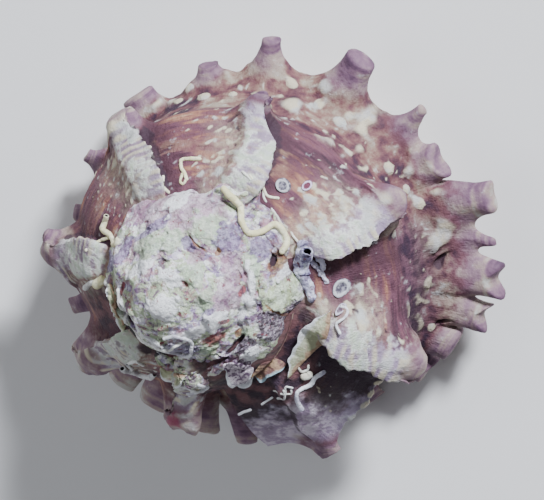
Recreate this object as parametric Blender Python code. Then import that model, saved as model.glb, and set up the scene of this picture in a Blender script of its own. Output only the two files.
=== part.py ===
"""Star snail shell: a spiny, top-shaped sea shell that rests on its base, mouth down.

The shell grew in one piece, so it is one closed solid. Its outer skin is a spiral strip. A
growth line runs from the seam with the turn above, down the ramp to the upper keel, down the
side wall to the lower keel, and under the base to the pole. It turns round the axis and grows
by a fixed ratio each turn. The strip is sewn to itself along the seam and closed on top by a
worn dome. At the lip it ends in a rim, from which a narrowing tube winds back inside: that is
the hollow behind the mouth.

Growth angles are in degrees round the axis, clockwise seen from the apex. Everything else is in
metres, +Z up, with the origin at the bottom centre of the bounding box.
"""

import math

import bpy
import numpy as np

# Growth of the shell
LIP_RADIUS = 0.0318        # axis to upper keel at the lip
TURN_RATIO = 1.75          # growth of that radius in one turn
SPIRE_SLOPE = 1.05         # depth of the keel below the growth centre, per radius
LIP_ANGLE = 300.0          # growth angle where the shell ends
SPIRE_COLUMNS = 260        # columns of the strip, from the dome to the lip
TURN_COLUMNS = 100         # columns in one turn

# Shape of a growth line: lengths are per keel radius
SEAM_AT = 1.2              # the next turn is sewn on a fifth of the way down the side wall
RAMP_BULGE = 0.035         # swelling of the ramp
WALL_HOLLOW = 0.035        # dip of the side wall between the keels
WALL_DEPTH = 0.42          # lower keel below upper keel
LIP_RISE = 0.07            # the lower keel comes up by this towards the lip
LIP_RISE_SPAN = (215.0, 300.0)      # growth angles between which it does
WALL_FLARE = 0.03          # lower keel outside upper keel
LATE_FLARE = 0.12          # added to the flare on the side away from the start
LATE_FLARE_SPAN = (115.0, 180.0)
LIP_TUCK = 0.20            # taken off the flare again towards the lip
LIP_TUCK_SPAN = (244.0, 282.0)
BASE_BULGE = 0.03          # swelling of the base
LATE_BULGE = 0.11          # added to the swelling on the newer half of the last turn
LATE_BULGE_SPAN = (70.0, 200.0)
BASE_CORNER = (0.85, 1.25, 1.2)     # powers that round the base: radius, height, swelling
LIP_FLANGE = 0.04          # thin edge of the upper keel between the last two ribs
LIP_FLANGE_START = (252.0, 264.0)
LIP_FLANGE_END = (280.0, 296.0)
LINE_LAG = 26.0            # growth lines trail by this angle across side wall and base
LINE_LAG_SPAN = (1.0, 2.8)          # places between which they do

POLE_DEPTH = 0.0440        # growth centre to the middle of the base
APEX_DEPTH = 0.0035        # growth centre to the top of the worn knob
KNOB_SWELL = 0.0012        # the worn knob stands this far out of the cone

# Mouth
MOUTH_RADIUS = 0.60        # axis to the middle of the mouth, per lip radius
MOUTH_DEPTH = 1.15         # growth centre to the middle of the mouth, per lip radius
TUBE_RADIUS = 0.36         # radius of the round tube behind the mouth, per lip radius
LIP_THICKNESS = 0.060      # rim of the outer lip, per lip radius
PILLAR_THICKNESS = 0.075   # rim along the pillar, per lip radius
TUBE_TURN = 200.0          # the hollow winds back this far
TUBE_ROUND_AT = 0.25       # share of its length after which it is round
TUBE_TAPER = 0.55          # how much it narrows at its blind end
TUBE_TAPER_AT = 0.7        # share of its length where that begins
TUBE_RINGS = 12
PILLAR_EDGE = 3            # points of the rim before the pole that are already pillar

# How it lies
HEADING = 218.0            # world direction of growth angle 0
LEAN = 11.5                # tilt of the axis from the vertical
LEAN_TOWARDS = 40.0        # growth angle that the apex leans to
WORN_FLAT = 0.0010         # depth of the worn flat that it rests on

# Upper keel: growth angle, reach and rise of the spine (per radius), half width of its foot,
# height of the rib that runs up to the seam (per radius), shift of the rib's inner end.
RIBS = (
    (-41.0, 0.34, -0.10, 0.0044, 0.09, -7.0),
    (1.0, 0.28, -0.06, 0.0046, 0.10, -5.0),
    (41.0, 0.21, 0.00, 0.0050, 0.11, -11.0),
    (95.0, 0.12, 0.02, 0.0054, 0.12, 7.0),
    (147.0, 0.16, 0.04, 0.0044, 0.13, 15.0),
    (198.0, 0.19, 0.02, 0.0060, 0.15, 3.0),
    (248.0, 0.22, 0.00, 0.0060, 0.15, -8.0),
    (290.0, 0.04, -0.04, 0.0056, 0.10, -12.0),
)

# Lower keel: growth angle, reach and rise of the spine (per radius), half width of its foot.
SPINES = (
    (-47.0, 0.34, -0.18, 0.0036),
    (-24.0, 0.28, -0.16, 0.0036),
    (-4.0, 0.26, -0.16, 0.0036),
    (19.0, 0.26, -0.12, 0.0038),
    (48.0, 0.10, -0.06, 0.0042),
    (71.0, 0.12, 0.00, 0.0036),
    (96.0, 0.09, 0.02, 0.0040),
    (121.0, 0.08, 0.00, 0.0044),
    (142.0, 0.26, 0.02, 0.0040),
    (165.0, 0.33, 0.04, 0.0044),
    (183.0, 0.27, 0.02, 0.0040),
    (194.0, 0.18, 0.02, 0.0036),
    (205.0, 0.38, 0.02, 0.0042),
    (215.0, 0.25, 0.02, 0.0034),
    (225.5, 0.32, 0.00, 0.0040),
    (234.5, 0.25, -0.02, 0.0038),
    (244.0, 0.12, -0.02, 0.0040),
    (259.0, 0.08, -0.10, 0.0044),
    (276.0, 0.06, -0.10, 0.0044),
)

RIB_START = (-0.1, 0.35)   # places where a rib grows out of the seam
RIB_END = (1.0, 1.5)       # places where it dies out on the side wall
RIB_RISE = (-3.4, -0.2)    # its slow side, in half widths of the foot
RIB_DROP = (0.1, 0.9)      # its steep, growing side
RIB_OUT = 0.6              # share of its height that goes outward
RIB_UP = 0.8               # and upward
RIB_TIP = 0.42             # share of a foot's width that stays at full height
SPINE_TIP = 0.45
SPINE_WAIST = 0.64         # narrowing of a spine towards its tip
SPINE_REACH = 40.0         # a spine only draws on skin grown within this angle
KEEL_STEP = 0.12           # step along a growth line that gives the slope at a keel
CROWDING = 1.5             # how much closer the columns stand at a spine
CROWDING_WIDTH = 0.8       # width of that, per half width of the foot

# Places of the rows along a growth line: 0 seam, 1 upper keel, 2 lower keel, 3 pole
RAMP_ROWS = (0.0, 0.14, 0.30, 0.47, 0.63, 0.78, 0.90, 1.0, 1.1, SEAM_AT)
WALL_ROWS = (SEAM_AT, 1.38, 1.56, 1.72, 1.84, 1.93, 2.0, 2.05, 2.11, 2.2, 2.34, 2.5, 2.66, 2.82, 3.0)
DOME_RINGS = 3
STRIP_START = 0.05         # share of its width with which the strip starts, under the dome

SHELL_COLOUR = (0.52, 0.40, 0.38, 1.0)
SHELL_ROUGHNESS = 0.6
SHARP_EDGE = 40.0          # edges sharper than this are shaded sharp


def smooth(edge0, edge1, value):
    """Smooth step from 0 at edge0 to 1 at edge1."""
    t = np.clip((value - edge0) / (edge1 - edge0), 0.0, 1.0)
    return t * t * (3.0 - 2.0 * t)


def keel_radius(theta):
    """Radius of the upper keel where growth had reached theta."""
    return LIP_RADIUS * TURN_RATIO ** ((theta - LIP_ANGLE) / 360.0)


def flare(theta):
    """How far the lower keel stands outside the upper keel, per radius."""
    late = LATE_FLARE * smooth(*LATE_FLARE_SPAN, theta)
    return WALL_FLARE + late - LIP_TUCK * smooth(*LIP_TUCK_SPAN, theta)


def line_lag(v):
    """Angle by which a growth line trails at place v."""
    return LINE_LAG * smooth(*LINE_LAG_SPAN, v)


def section(theta, v):
    """Radius, height and growth angle of the plain skin at (theta, v)."""
    size = keel_radius(theta)
    inner = size / TURN_RATIO
    part = SEAM_AT - 1.0
    seam_r = inner * (1.0 + flare(theta - 360.0) * part - WALL_HOLLOW * np.sin(np.pi * part))
    seam_z = -inner * (SPIRE_SLOPE + WALL_DEPTH * part)
    flange = LIP_FLANGE * smooth(*LIP_FLANGE_START, theta) * (1.0 - smooth(*LIP_FLANGE_END, theta))
    keel_r = size * (1.0 + flange)
    keel_z = -size * SPIRE_SLOPE
    low_r = size * (1.0 + flare(theta))
    low_z = keel_z - size * (WALL_DEPTH - LIP_RISE * smooth(*LIP_RISE_SPAN, theta))

    a = np.clip(v, 0.0, 1.0)
    swell = size * RAMP_BULGE * np.sin(np.pi * a) / math.sqrt(2.0)
    ramp_r = seam_r + (keel_r - seam_r) * a + swell
    ramp_z = seam_z + (keel_z - seam_z) * a + swell

    b = np.clip(v - 1.0, 0.0, 1.0)
    wall_r = keel_r + (low_r - keel_r) * b - size * WALL_HOLLOW * np.sin(np.pi * b)
    wall_z = keel_z + (low_z - keel_z) * b

    c = np.clip(v - 2.0, 0.0, 1.0) * np.pi / 2.0
    bulge = size * (BASE_BULGE + LATE_BULGE * smooth(*LATE_BULGE_SPAN, theta))
    round_r, round_z, round_bulge = BASE_CORNER
    base_r = low_r * np.cos(c) ** round_r
    base_z = low_z - (POLE_DEPTH + low_z) * np.sin(c) ** round_z - bulge * np.sin(2.0 * c) ** round_bulge

    r = np.where(v <= 1.0, ramp_r, np.where(v <= 2.0, wall_r, base_r))
    z = np.where(v <= 1.0, ramp_z, np.where(v <= 2.0, wall_z, base_z))
    return r, z, theta - line_lag(v)


def place(r, z, angle):
    """Points in the shell's own frame, whose +Z is the axis towards the apex."""
    turn = np.radians(angle)
    return np.stack([r * np.cos(turn), -r * np.sin(turn), z + 0.0 * r], axis=-1)


def rib_lift(theta, v, angle):
    """Height of the ribs: each rises slowly, and drops on its growing side."""
    size = keel_radius(theta)
    along = smooth(*RIB_START, v) * (1.0 - smooth(*RIB_END, v))
    lift = np.zeros(theta.shape)
    for keel_angle, _, _, half, height, skew in RIBS:
        crest = keel_angle + skew * (1.0 - np.clip(v, 0.0, 1.0))
        away = np.radians(angle - crest) * size / half
        rise = smooth(*RIB_RISE, away)
        drop = 1.0 - smooth(*RIB_DROP, away)
        lift = lift + size * height * rise * drop * along
    return lift


def spine_frame(angle, v):
    """Where a spine of the last turn stands: centre, two directions along the skin, outward."""
    theta = angle + line_lag(v)
    r, z, _ = section(theta, v)
    r1, z1, _ = section(theta, v - KEEL_STEP)
    r2, z2, _ = section(theta, v + KEEL_STEP)
    turn = math.radians(angle)
    across = np.array([-math.sin(turn), -math.cos(turn), 0.0])
    outward = np.array([math.cos(turn), -math.sin(turn), 0.0])
    down = outward * (r2 - r1) + np.array([0.0, 0.0, z2 - z1])
    return theta, place(r, z, angle), across, down / np.linalg.norm(down), outward


def pull_spine(points, theta, spine, v, tip_share):
    """Draw the skin round one point of a keel out into a blunt, tapering spine."""
    angle, reach, rise, half = spine[:4]
    at, centre, across, down, outward = spine_frame(angle, v)
    size = keel_radius(at)
    push = outward * size * reach + np.array([0.0, 0.0, size * rise])
    offset = points - centre
    x = offset @ across
    y = offset @ down
    z = offset @ np.cross(across, down)
    away = np.sqrt(x * x + y * y + z * z) / half
    near = (away < 1.0) & (np.abs(theta - at) < SPINE_REACH)
    height = np.where(near, 1.0 - smooth(tip_share, 1.0, away), 0.0)
    waist = SPINE_WAIST + (1.0 - SPINE_WAIST) * away ** 2
    narrow = np.where(near, waist - 1.0, 0.0)
    side = x[..., None] * across + y[..., None] * down
    return points + height[..., None] * push + narrow[..., None] * side


def skin(theta, v):
    """Points of the finished skin, on a grid of growth angles and places."""
    theta, v = np.meshgrid(theta, v)
    r, z, angle = section(theta, v)
    lift = rib_lift(theta, v, angle)
    points = place(r + RIB_OUT * lift, z + RIB_UP * lift, angle)
    for rib in RIBS:
        points = pull_spine(points, theta, rib, 1.0, RIB_TIP)
    for spine in SPINES:
        points = pull_spine(points, theta, spine, 2.0, SPINE_TIP)
    return points


def turn_angles():
    """Growth angles of one turn's columns, closer together where a spine stands."""
    fine = np.arange(LIP_ANGLE - 360.0, LIP_ANGLE, 0.1)
    fine = np.append(fine, LIP_ANGLE)
    weight = np.ones(fine.shape)
    for keel, spines in ((1.0, RIBS), (2.0, SPINES)):
        for spine in spines:
            at = spine[0] + line_lag(keel)
            spread = np.degrees(CROWDING_WIDTH * spine[3] / keel_radius(at))
            weight = weight + CROWDING * np.exp(-((fine - at) / spread) ** 2)
    total = np.concatenate([[0.0], np.cumsum((weight[1:] + weight[:-1]) / 2.0)])
    return np.interp(np.linspace(0.0, total[-1], TURN_COLUMNS + 1), total, fine)


def strip_angles():
    """Growth angles of all columns: the last turn's, repeated back up the spire."""
    index = np.arange(-SPIRE_COLUMNS, 0)
    turn, column = np.divmod(index, TURN_COLUMNS)
    spire = turn_angles()[column] + 360.0 * (turn + 1)
    return np.append(spire, LIP_ANGLE)


class Surface:
    """Points and faces, gathered as arrays."""

    def __init__(self):
        self.points = np.empty((0, 3))
        self.quads = np.empty((0, 4), dtype=int)
        self.triangles = np.empty((0, 3), dtype=int)

    def add(self, points):
        """Add points and return their numbers in the same layout."""
        flat = points.reshape(-1, 3)
        first = len(self.points)
        self.points = np.concatenate([self.points, flat])
        return np.arange(first, first + len(flat)).reshape(points.shape[:-1])

    def grid(self, ids):
        """Quads between neighbouring rows and columns."""
        corners = (ids[:-1, :-1], ids[:-1, 1:], ids[1:, 1:], ids[1:, :-1])
        quads = np.stack(corners, axis=-1).reshape(-1, 4)
        self.quads = np.concatenate([self.quads, quads])

    def fan(self, row, tip):
        """Triangles from a row's neighbouring pairs to one point."""
        triangles = np.stack([row[:-1], row[1:], np.full(len(row) - 1, tip)], axis=-1)
        self.triangles = np.concatenate([self.triangles, triangles])


def add_strip(surface):
    """The spiral strip. Returns the point numbers of its ramp and of its wall and base."""
    theta = strip_angles()
    opening = STRIP_START + (1.0 - STRIP_START) * smooth(theta[0], theta[TURN_COLUMNS], theta)
    rows = np.array(RAMP_ROWS)[:, None]
    places = SEAM_AT - (SEAM_AT - rows) * opening
    r, z, angle = section(theta + 0.0 * places, places)
    points = skin(theta, RAMP_ROWS)
    start = slice(0, TURN_COLUMNS)
    points[:, start] = place(r, z, angle)[:, start]

    ramp = np.empty(points.shape[:2], dtype=int)
    ramp[1:] = surface.add(points[1:])
    ramp[0, start] = surface.add(points[0, start])
    ramp[0, TURN_COLUMNS:] = ramp[-1, :-TURN_COLUMNS]
    surface.grid(ramp)

    points = skin(theta[-TURN_COLUMNS - 1:], WALL_ROWS)
    wall = np.empty(points.shape[:2], dtype=int)
    wall[0] = ramp[-1, -TURN_COLUMNS - 1:]
    wall[1:-1] = surface.add(points[1:-1])
    wall[-1] = surface.add(np.array([[0.0, 0.0, -POLE_DEPTH]]))[0]
    surface.grid(wall[:-1])
    surface.fan(wall[-2], wall[-1, 0])
    return ramp, wall


def add_dome(surface, ramp):
    """Close the top with rings from the first turn's upper edge to the worn apex."""
    loop = np.concatenate([ramp[0, :TURN_COLUMNS], ramp[::-1, 0]])
    edge = surface.points[loop]
    apex = np.array([0.0, 0.0, -APEX_DEPTH])
    rings = [loop]
    for step in range(1, DOME_RINGS + 1):
        t = step / (DOME_RINGS + 1.0)
        ring = edge + (apex - edge) * t
        ring[:, 2] += KNOB_SWELL * math.sin(math.pi * t)
        ring[-1] = ring[0]
        numbers = surface.add(ring[:-1])
        rings.append(np.append(numbers, numbers[0]))
    for lower, upper in zip(rings[:-1], rings[1:]):
        surface.grid(np.stack([upper, lower]))
    surface.fan(rings[-1][::-1], surface.add(apex[None, :])[0])


def add_mouth(surface, ramp, wall):
    """The rim of the lip, and the tube that narrows as it winds back inside."""
    loop = np.concatenate([ramp[:, -1], wall[1:, -1], wall[1:-1, 0][::-1]])
    edge = surface.points[loop]
    r = np.hypot(edge[:, 0], edge[:, 1])
    centre_r = MOUTH_RADIUS * LIP_RADIUS
    centre_z = -MOUTH_DEPTH * LIP_RADIUS
    side_r = r - centre_r
    side_z = edge[:, 2] - centre_z
    number = np.arange(len(loop))
    pole = len(ramp) + len(wall) - 2
    rim = np.where(number < pole - PILLAR_EDGE, LIP_THICKNESS, PILLAR_THICKNESS) * LIP_RADIUS
    keep = 1.0 - rim / np.hypot(side_r, side_z)
    around = np.arctan2(side_z, side_r)
    round_r = TUBE_RADIUS * LIP_RADIUS * np.cos(around)
    round_z = TUBE_RADIUS * LIP_RADIUS * np.sin(around)
    off_axis = number != pole
    turn = np.unwrap(np.degrees(np.arctan2(-edge[off_axis, 1], edge[off_axis, 0])), period=360.0)
    turn = np.interp(number, number[off_axis], turn)
    rings = [np.append(loop, loop[0])]
    for step in range(TUBE_RINGS + 1):
        t = step / TUBE_RINGS
        back = TUBE_TURN * t
        growth = TURN_RATIO ** (-back / 360.0)
        taper = 1.0 - TUBE_TAPER * smooth(TUBE_TAPER_AT, 1.0, t)
        blend = smooth(0.0, TUBE_ROUND_AT, t)
        ring_r = growth * (centre_r + taper * (side_r * keep * (1.0 - blend) + round_r * blend))
        ring_z = growth * (centre_z + taper * (side_z * keep * (1.0 - blend) + round_z * blend))
        middle = LIP_ANGLE - 360.0 - 0.5 * LINE_LAG
        ring_turn = turn * (1.0 - blend) + middle * blend - back
        numbers = surface.add(place(ring_r, ring_z, ring_turn))
        rings.append(np.append(numbers, numbers[0]))
    for outer, inner in zip(rings[:-1], rings[1:]):
        surface.grid(np.stack([inner, outer]))
    end = surface.points[rings[-1][:-1]].mean(axis=0)
    surface.fan(rings[-1][::-1], surface.add(end[None, :])[0])


def rest_turn():
    """Rotation from the shell's own frame to the way that it lies."""
    heading = math.radians(HEADING)
    turn = np.array([[math.cos(heading), -math.sin(heading), 0.0],
                     [math.sin(heading), math.cos(heading), 0.0],
                     [0.0, 0.0, 1.0]])
    towards = math.radians(HEADING - LEAN_TOWARDS)
    lean = math.radians(LEAN)
    x, y = -math.sin(towards), math.cos(towards)
    cross = np.array([[0.0, 0.0, y], [0.0, 0.0, -x], [-y, x, 0.0]])
    tilt = np.eye(3) + math.sin(lean) * cross + (1.0 - math.cos(lean)) * (cross @ cross)
    return tilt @ turn


def lie_down(points):
    """Turn the points to rest, wear the flat, and put the origin at the bottom centre."""
    points = points @ rest_turn().T
    points[:, 2] = np.maximum(points[:, 2] - points[:, 2].min() - WORN_FLAT, 0.0)
    low, high = points.min(axis=0), points.max(axis=0)
    points[:, :2] -= (low[:2] + high[:2]) / 2.0
    return points


def make_shell():
    """The shell, its one node."""
    surface = Surface()
    ramp, wall = add_strip(surface)
    add_dome(surface, ramp)
    add_mouth(surface, ramp, wall)
    points = lie_down(surface.points)
    mesh = bpy.data.meshes.new("shell")
    mesh.from_pydata(points.tolist(), [], surface.quads.tolist() + surface.triangles.tolist())
    mesh.shade_smooth()
    mesh.set_sharp_from_angle(angle=math.radians(SHARP_EDGE))
    mesh.materials.append(make_material())
    shell = bpy.data.objects.new("shell", mesh)
    bpy.context.scene.collection.objects.link(shell)


def make_material():
    """Lime shell, mauve and cream on average."""
    material = bpy.data.materials.new("shell_lime")
    material.use_nodes = True
    surface = material.node_tree.nodes["Principled BSDF"]
    surface.inputs["Base Color"].default_value = SHELL_COLOUR
    surface.inputs["Roughness"].default_value = SHELL_ROUGHNESS
    surface.inputs["Metallic"].default_value = 0.0
    return material


def main():
    for old in list(bpy.data.objects):
        bpy.data.objects.remove(old, do_unlink=True)
    make_shell()


main()
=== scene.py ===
"""Looks of a star snail shell: its fine skin, the lime crust on its spire, and what grew on it.

The skin repeats the growth of the solid shell from the same named sizes. A growth line runs from
the seam down the ramp to the upper keel, down the side wall to the lower keel, and under the base
to the pole, and it turns round the axis while it grows by a fixed ratio each turn. Ribs, spines,
cords and spots stand on it. Growth angles are in degrees round the axis, clockwise seen from the
apex. Everything else is in metres, +Z up, with the origin under the middle of the shell.
"""

import math

import bpy
import numpy as np
from mathutils import Matrix, Vector


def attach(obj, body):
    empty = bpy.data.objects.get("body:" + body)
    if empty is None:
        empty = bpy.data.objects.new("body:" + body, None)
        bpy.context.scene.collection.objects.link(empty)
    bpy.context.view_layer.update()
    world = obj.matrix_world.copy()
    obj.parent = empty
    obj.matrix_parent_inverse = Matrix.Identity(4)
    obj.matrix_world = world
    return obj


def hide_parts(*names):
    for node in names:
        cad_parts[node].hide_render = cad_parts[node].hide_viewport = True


bl_info = {
    "name": "Star Snail Shell",
    "version": (1, 0, 0),
    "blender": (4, 5, 0),
    "location": "View3D > Sidebar > Shell",
    "description": "Builds a spiny, lime-crusted star snail shell on a pale table",
    "category": "Add Mesh",
}

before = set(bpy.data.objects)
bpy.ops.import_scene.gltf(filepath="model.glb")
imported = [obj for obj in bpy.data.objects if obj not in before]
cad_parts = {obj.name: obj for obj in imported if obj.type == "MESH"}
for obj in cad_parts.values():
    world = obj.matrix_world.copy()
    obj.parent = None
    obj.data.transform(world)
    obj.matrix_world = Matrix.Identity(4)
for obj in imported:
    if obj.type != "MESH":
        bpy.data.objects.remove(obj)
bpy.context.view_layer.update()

# Growth of the shell
LIP_RADIUS = 0.0318        # axis to upper keel at the lip
TURN_RATIO = 1.75          # growth of that radius in one turn
SPIRE_SLOPE = 1.05         # depth of the keel below the growth centre, per radius
LIP_ANGLE = 300.0          # growth angle where the shell ends
FIRST_ANGLE = LIP_ANGLE - 360.0    # growth angle where the last turn begins

# Shape of a growth line: lengths are per keel radius
SEAM_AT = 1.2              # the next turn is sewn on a fifth of the way down the side wall
RAMP_BULGE = 0.035         # swelling of the ramp
WALL_HOLLOW = 0.035        # dip of the side wall between the keels
WALL_DEPTH = 0.42          # lower keel below upper keel
LIP_RISE = 0.07            # the lower keel comes up by this towards the lip
LIP_RISE_SPAN = (215.0, 300.0)      # growth angles between which it does
WALL_FLARE = 0.03          # lower keel outside upper keel
LATE_FLARE = 0.12          # added to the flare on the side away from the start
LATE_FLARE_SPAN = (115.0, 180.0)
LIP_TUCK = 0.20            # taken off the flare again towards the lip
LIP_TUCK_SPAN = (244.0, 282.0)
BASE_BULGE = 0.03          # swelling of the base
LATE_BULGE = 0.11          # added to the swelling on the newer half of the last turn
LATE_BULGE_SPAN = (70.0, 200.0)
BASE_CORNER = (0.85, 1.25, 1.2)     # powers that round the base: radius, height, swelling
LIP_FLANGE = 0.04          # thin edge of the upper keel between the last two ribs
LIP_FLANGE_START = (252.0, 264.0)
LIP_FLANGE_END = (280.0, 296.0)
LINE_LAG = 26.0            # growth lines trail by this angle across side wall and base
LINE_LAG_SPAN = (1.0, 2.8)          # places between which they do
POLE_DEPTH = 0.0440        # growth centre to the middle of the base
APEX_DEPTH = 0.0035        # growth centre to the top of the worn knob
DOME_SUNK = 0.0015         # the cone that closes the skin lies this far under it

# Mouth, per lip radius
MOUTH_RADIUS = 0.60        # axis to the middle of the mouth
MOUTH_DEPTH = 1.15         # growth centre to the middle of the mouth
TUBE_RADIUS = 0.36         # radius of the round tube behind the mouth
LIP_THICKNESS = 0.060      # rim of the outer lip
PILLAR_THICKNESS = 0.075   # rim along the pillar
PILLAR_EDGE = (16, 4)      # points before the pole between which lip turns to pillar
RIM_AHEAD = 0.6            # the rounded rim stands this angle ahead of the lip
RIM_SHARE = 0.55           # share of the rim's thickness there
TUBE_TURN = 200.0          # the hollow winds back by this angle
TUBE_ROUND_AT = 0.25       # share of its length after which it is round
TUBE_TAPER = 0.55          # how much it narrows at its blind end
TUBE_TAPER_AT = 0.7        # share of its length where that begins
TUBE_RINGS = 22

# How it lies
HEADING = 218.0            # world direction of growth angle 0
LEAN = 11.5                # tilt of the axis from the vertical
LEAN_TOWARDS = 40.0        # growth angle that the apex leans to
GROWTH_CENTRE = Vector((-0.013702, -0.000226, 0.044145))

# Grid of the skin
TURN_COLUMNS = 600         # columns in one turn
HIDDEN_COLUMNS = 120       # columns before the last turn, under the crust
OPENED_BY = 20             # columns before the last turn where the strip has its full width
RAMP_ROWS = 58
WALL_ROWS = 78
CROWDING = 2.2             # how much closer the columns stand at a spine

# Upper keel: growth angle, reach and rise of the spine (per radius), half width of its foot,
# bluntness, bend and notch of its tip; the rib that runs up to the seam: height (per radius),
# shift of its inner end, how far it bows forward, width, place where it starts, and share of
# the width that is left at the keel.
RIBS = (
    (-41.0, 0.44, -0.12, 0.0040, 0.70, 0.0, 0.12, 0.09, -7.0, 0.0, 15.0, 0.00, 0.75),
    (1.0, 0.32, -0.08, 0.0052, 0.62, 0.0, 0.0, 0.10, -4.0, 0.0, 20.0, 0.00, 0.75),
    (43.0, 0.23, 0.00, 0.0052, 0.54, 0.0, 0.0, 0.12, 17.0, 0.0, 19.0, 0.00, 0.75),
    (98.0, 0.15, 0.02, 0.0044, 0.62, 0.0, 0.06, 0.12, 17.0, 1.0, 16.0, 0.00, 0.62),
    (147.0, 0.18, 0.06, 0.0046, 0.30, 0.05, 0.0, 0.13, 16.0, 5.0, 18.0, 0.00, 0.32),
    (198.0, 0.19, 0.02, 0.0060, 0.44, 0.0, 0.0, 0.15, 3.0, 4.0, 11.0, 0.18, 0.70),
    (246.0, 0.21, 0.00, 0.0062, 0.52, 0.0, 0.0, 0.15, -9.0, 1.0, 12.5, 0.16, 0.85),
    (284.0, 0.11, -0.06, 0.0064, 0.34, 0.0, 0.0, 0.04, -12.0, 0.0, 8.0, 0.00, 0.75),
)

# Lower keel: the same numbers for its spines
SPINES = (
    (-55.0, 0.62, -0.24, 0.0030, 0.56, 0.0, 0.0),
    (-41.0, 0.52, -0.20, 0.0040, 0.60, 0.0, 0.0),
    (-24.0, 0.44, -0.16, 0.0044, 0.66, 0.0, 0.0),
    (-11.0, 0.46, -0.16, 0.0044, 0.60, 0.0, 0.0),
    (17.0, 0.36, -0.10, 0.0048, 0.30, 0.0, 0.0),
    (40.0, 0.18, -0.04, 0.0036, 0.62, 0.0, 0.0),
    (49.0, 0.15, -0.02, 0.0054, 0.24, 0.0, 0.0),
    (70.0, 0.16, 0.02, 0.0060, 0.20, 0.0, 0.0),
    (96.5, 0.15, 0.02, 0.0042, 0.66, 0.0, 0.06),
    (121.0, 0.12, 0.00, 0.0048, 0.38, 0.02, 0.0),
    (140.5, 0.23, 0.02, 0.0054, 0.30, 0.0, 0.0),
    (163.5, 0.27, 0.04, 0.0060, 0.40, 0.0, 0.0),
    (183.0, 0.25, 0.02, 0.0064, 0.14, -0.03, 0.0),
    (194.5, 0.15, 0.02, 0.0050, 0.56, 0.0, 0.20),
    (206.0, 0.35, 0.02, 0.0052, 0.50, 0.0, 0.08),
    (215.5, 0.28, 0.02, 0.0064, 0.12, 0.02, 0.0),
    (225.5, 0.30, 0.00, 0.0054, 0.54, 0.0, 0.24),
    (235.0, 0.24, -0.02, 0.0050, 0.50, 0.0, 0.24),
    (245.0, 0.14, -0.02, 0.0046, 0.66, 0.0, 0.0),
    (256.0, 0.16, -0.06, 0.0046, 0.60, 0.0, 0.12),
    (276.0, 0.08, -0.10, 0.0046, 0.50, 0.0, 0.0),
)

# Small knobs between them: growth angle, place on the growth line, height (per radius), half width
KNOBS = (
    (111.0, 1.80, 0.03, 0.0013),
    (116.0, 1.92, 0.05, 0.0014),
    (122.0, 1.66, 0.05, 0.0018),
    (133.0, 1.62, 0.03, 0.0012),
    (150.0, 1.84, 0.05, 0.0016),
    (161.0, 1.70, 0.04, 0.0014),
    (169.5, 1.62, 0.05, 0.0017),
    (190.0, 1.64, 0.06, 0.0017),
    (191.0, 1.92, 0.04, 0.0015),
    (198.0, 1.70, 0.03, 0.0012),
    (203.5, 1.76, 0.05, 0.0016),
    (211.0, 1.86, 0.05, 0.0015),
    (216.0, 1.74, 0.05, 0.0014),
    (220.0, 1.88, 0.04, 0.0012),
    (227.0, 1.64, 0.04, 0.0014),
    (241.0, 1.80, 0.04, 0.0014),
    (203.0, 1.10, 0.20, 0.0028),
    (208.0, 1.20, 0.04, 0.0014),
    (256.0, 1.02, 0.05, 0.0018),
    (261.0, 1.00, 0.03, 0.0014),
    (265.0, 1.02, 0.04, 0.0018),
    (271.0, 1.00, 0.03, 0.0014),
)

# Pores bored into the wall: growth angle, place on the growth line, radius
PORES = (
    (222.2, 1.76, 0.0009),
    (239.0, 1.82, 0.0007),
)

CAP = 0.22                 # share of a spine's foot that becomes its round tip
CAP_HEIGHT = 0.10          # share of its height that the tip makes
FOOT_CURVE = 1.25          # how slowly a spine rises from its foot
FOOT_FLAT = 0.80           # height of a spine's foot for its width
OVERHANG = 0.55            # how far a rib's crest leans over its growing side
RIB_BACK = 0.34            # share of a rib's height that its hind edge steps up
RIB_END = (1.0, 1.5)       # places where a rib dies out on the side wall
RIB_OUT = 0.6              # share of its height that goes outward
RIB_UP = 0.8               # and upward
OUTER_GAP = 48.0           # growth angle before the first rib and after the last one
KEEL_STEP = 0.12           # step along a growth line that gives the slope at a keel
SPINE_REACH = 40.0         # a spine only draws on skin grown within this angle
KNOB_TIP = 0.5             # bluntness of a knob

CORDS = 10.0               # spiral cords on the ramp
BASE_CORDS = 9.0           # spiral cords under the base
SPOT_ANGLE = 5.8           # growth angle from spot to spot on the ramp
WALL_SPOT_ANGLE = 5.5      # and on the side wall
WALL_SPOT_ROWS = 4.0       # rows of spots on the side wall
SCALE_ANGLE = 2.1          # growth angle from scale to scale of a base cord

# Heights of the relief
FLUTE_HEIGHT = 0.00046     # flutes along the cords, on a rib
CORD_HEIGHT = 0.00005      # cords between the ribs
SPOT_HEIGHT = 0.00020      # spots on ramp and wall
BUMP_HEIGHT = 0.00075      # bumps of the wall
BASE_CORD_HEIGHT = 0.00038
GRIT_HEIGHT = 0.00007      # fine grit, all over
LUMP_HEIGHT = 0.00022      # lumps of ribs and spines
PORE_DEPTH = 0.0012


def smooth(edge0, edge1, value):
    """Smooth step from 0 at edge0 to 1 at edge1."""
    t = np.clip((value - edge0) / (edge1 - edge0), 0.0, 1.0)
    return t * t * (3.0 - 2.0 * t)


def hashed(cell, seed):
    """Repeatable number from 0 to 1 for each whole-number cell."""
    mixed = cell[..., 0] * 73856093 ^ cell[..., 1] * 19349663 ^ cell[..., 2] * 83492791 ^ seed * 7919
    mixed = (mixed ^ mixed >> 13) * 1274126177 & 0x7FFFFFFF
    mixed = (mixed ^ mixed >> 15) * 668265263 & 0x7FFFFFFF
    return (mixed ^ mixed >> 12) % 65536 / 65535.0


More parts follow.
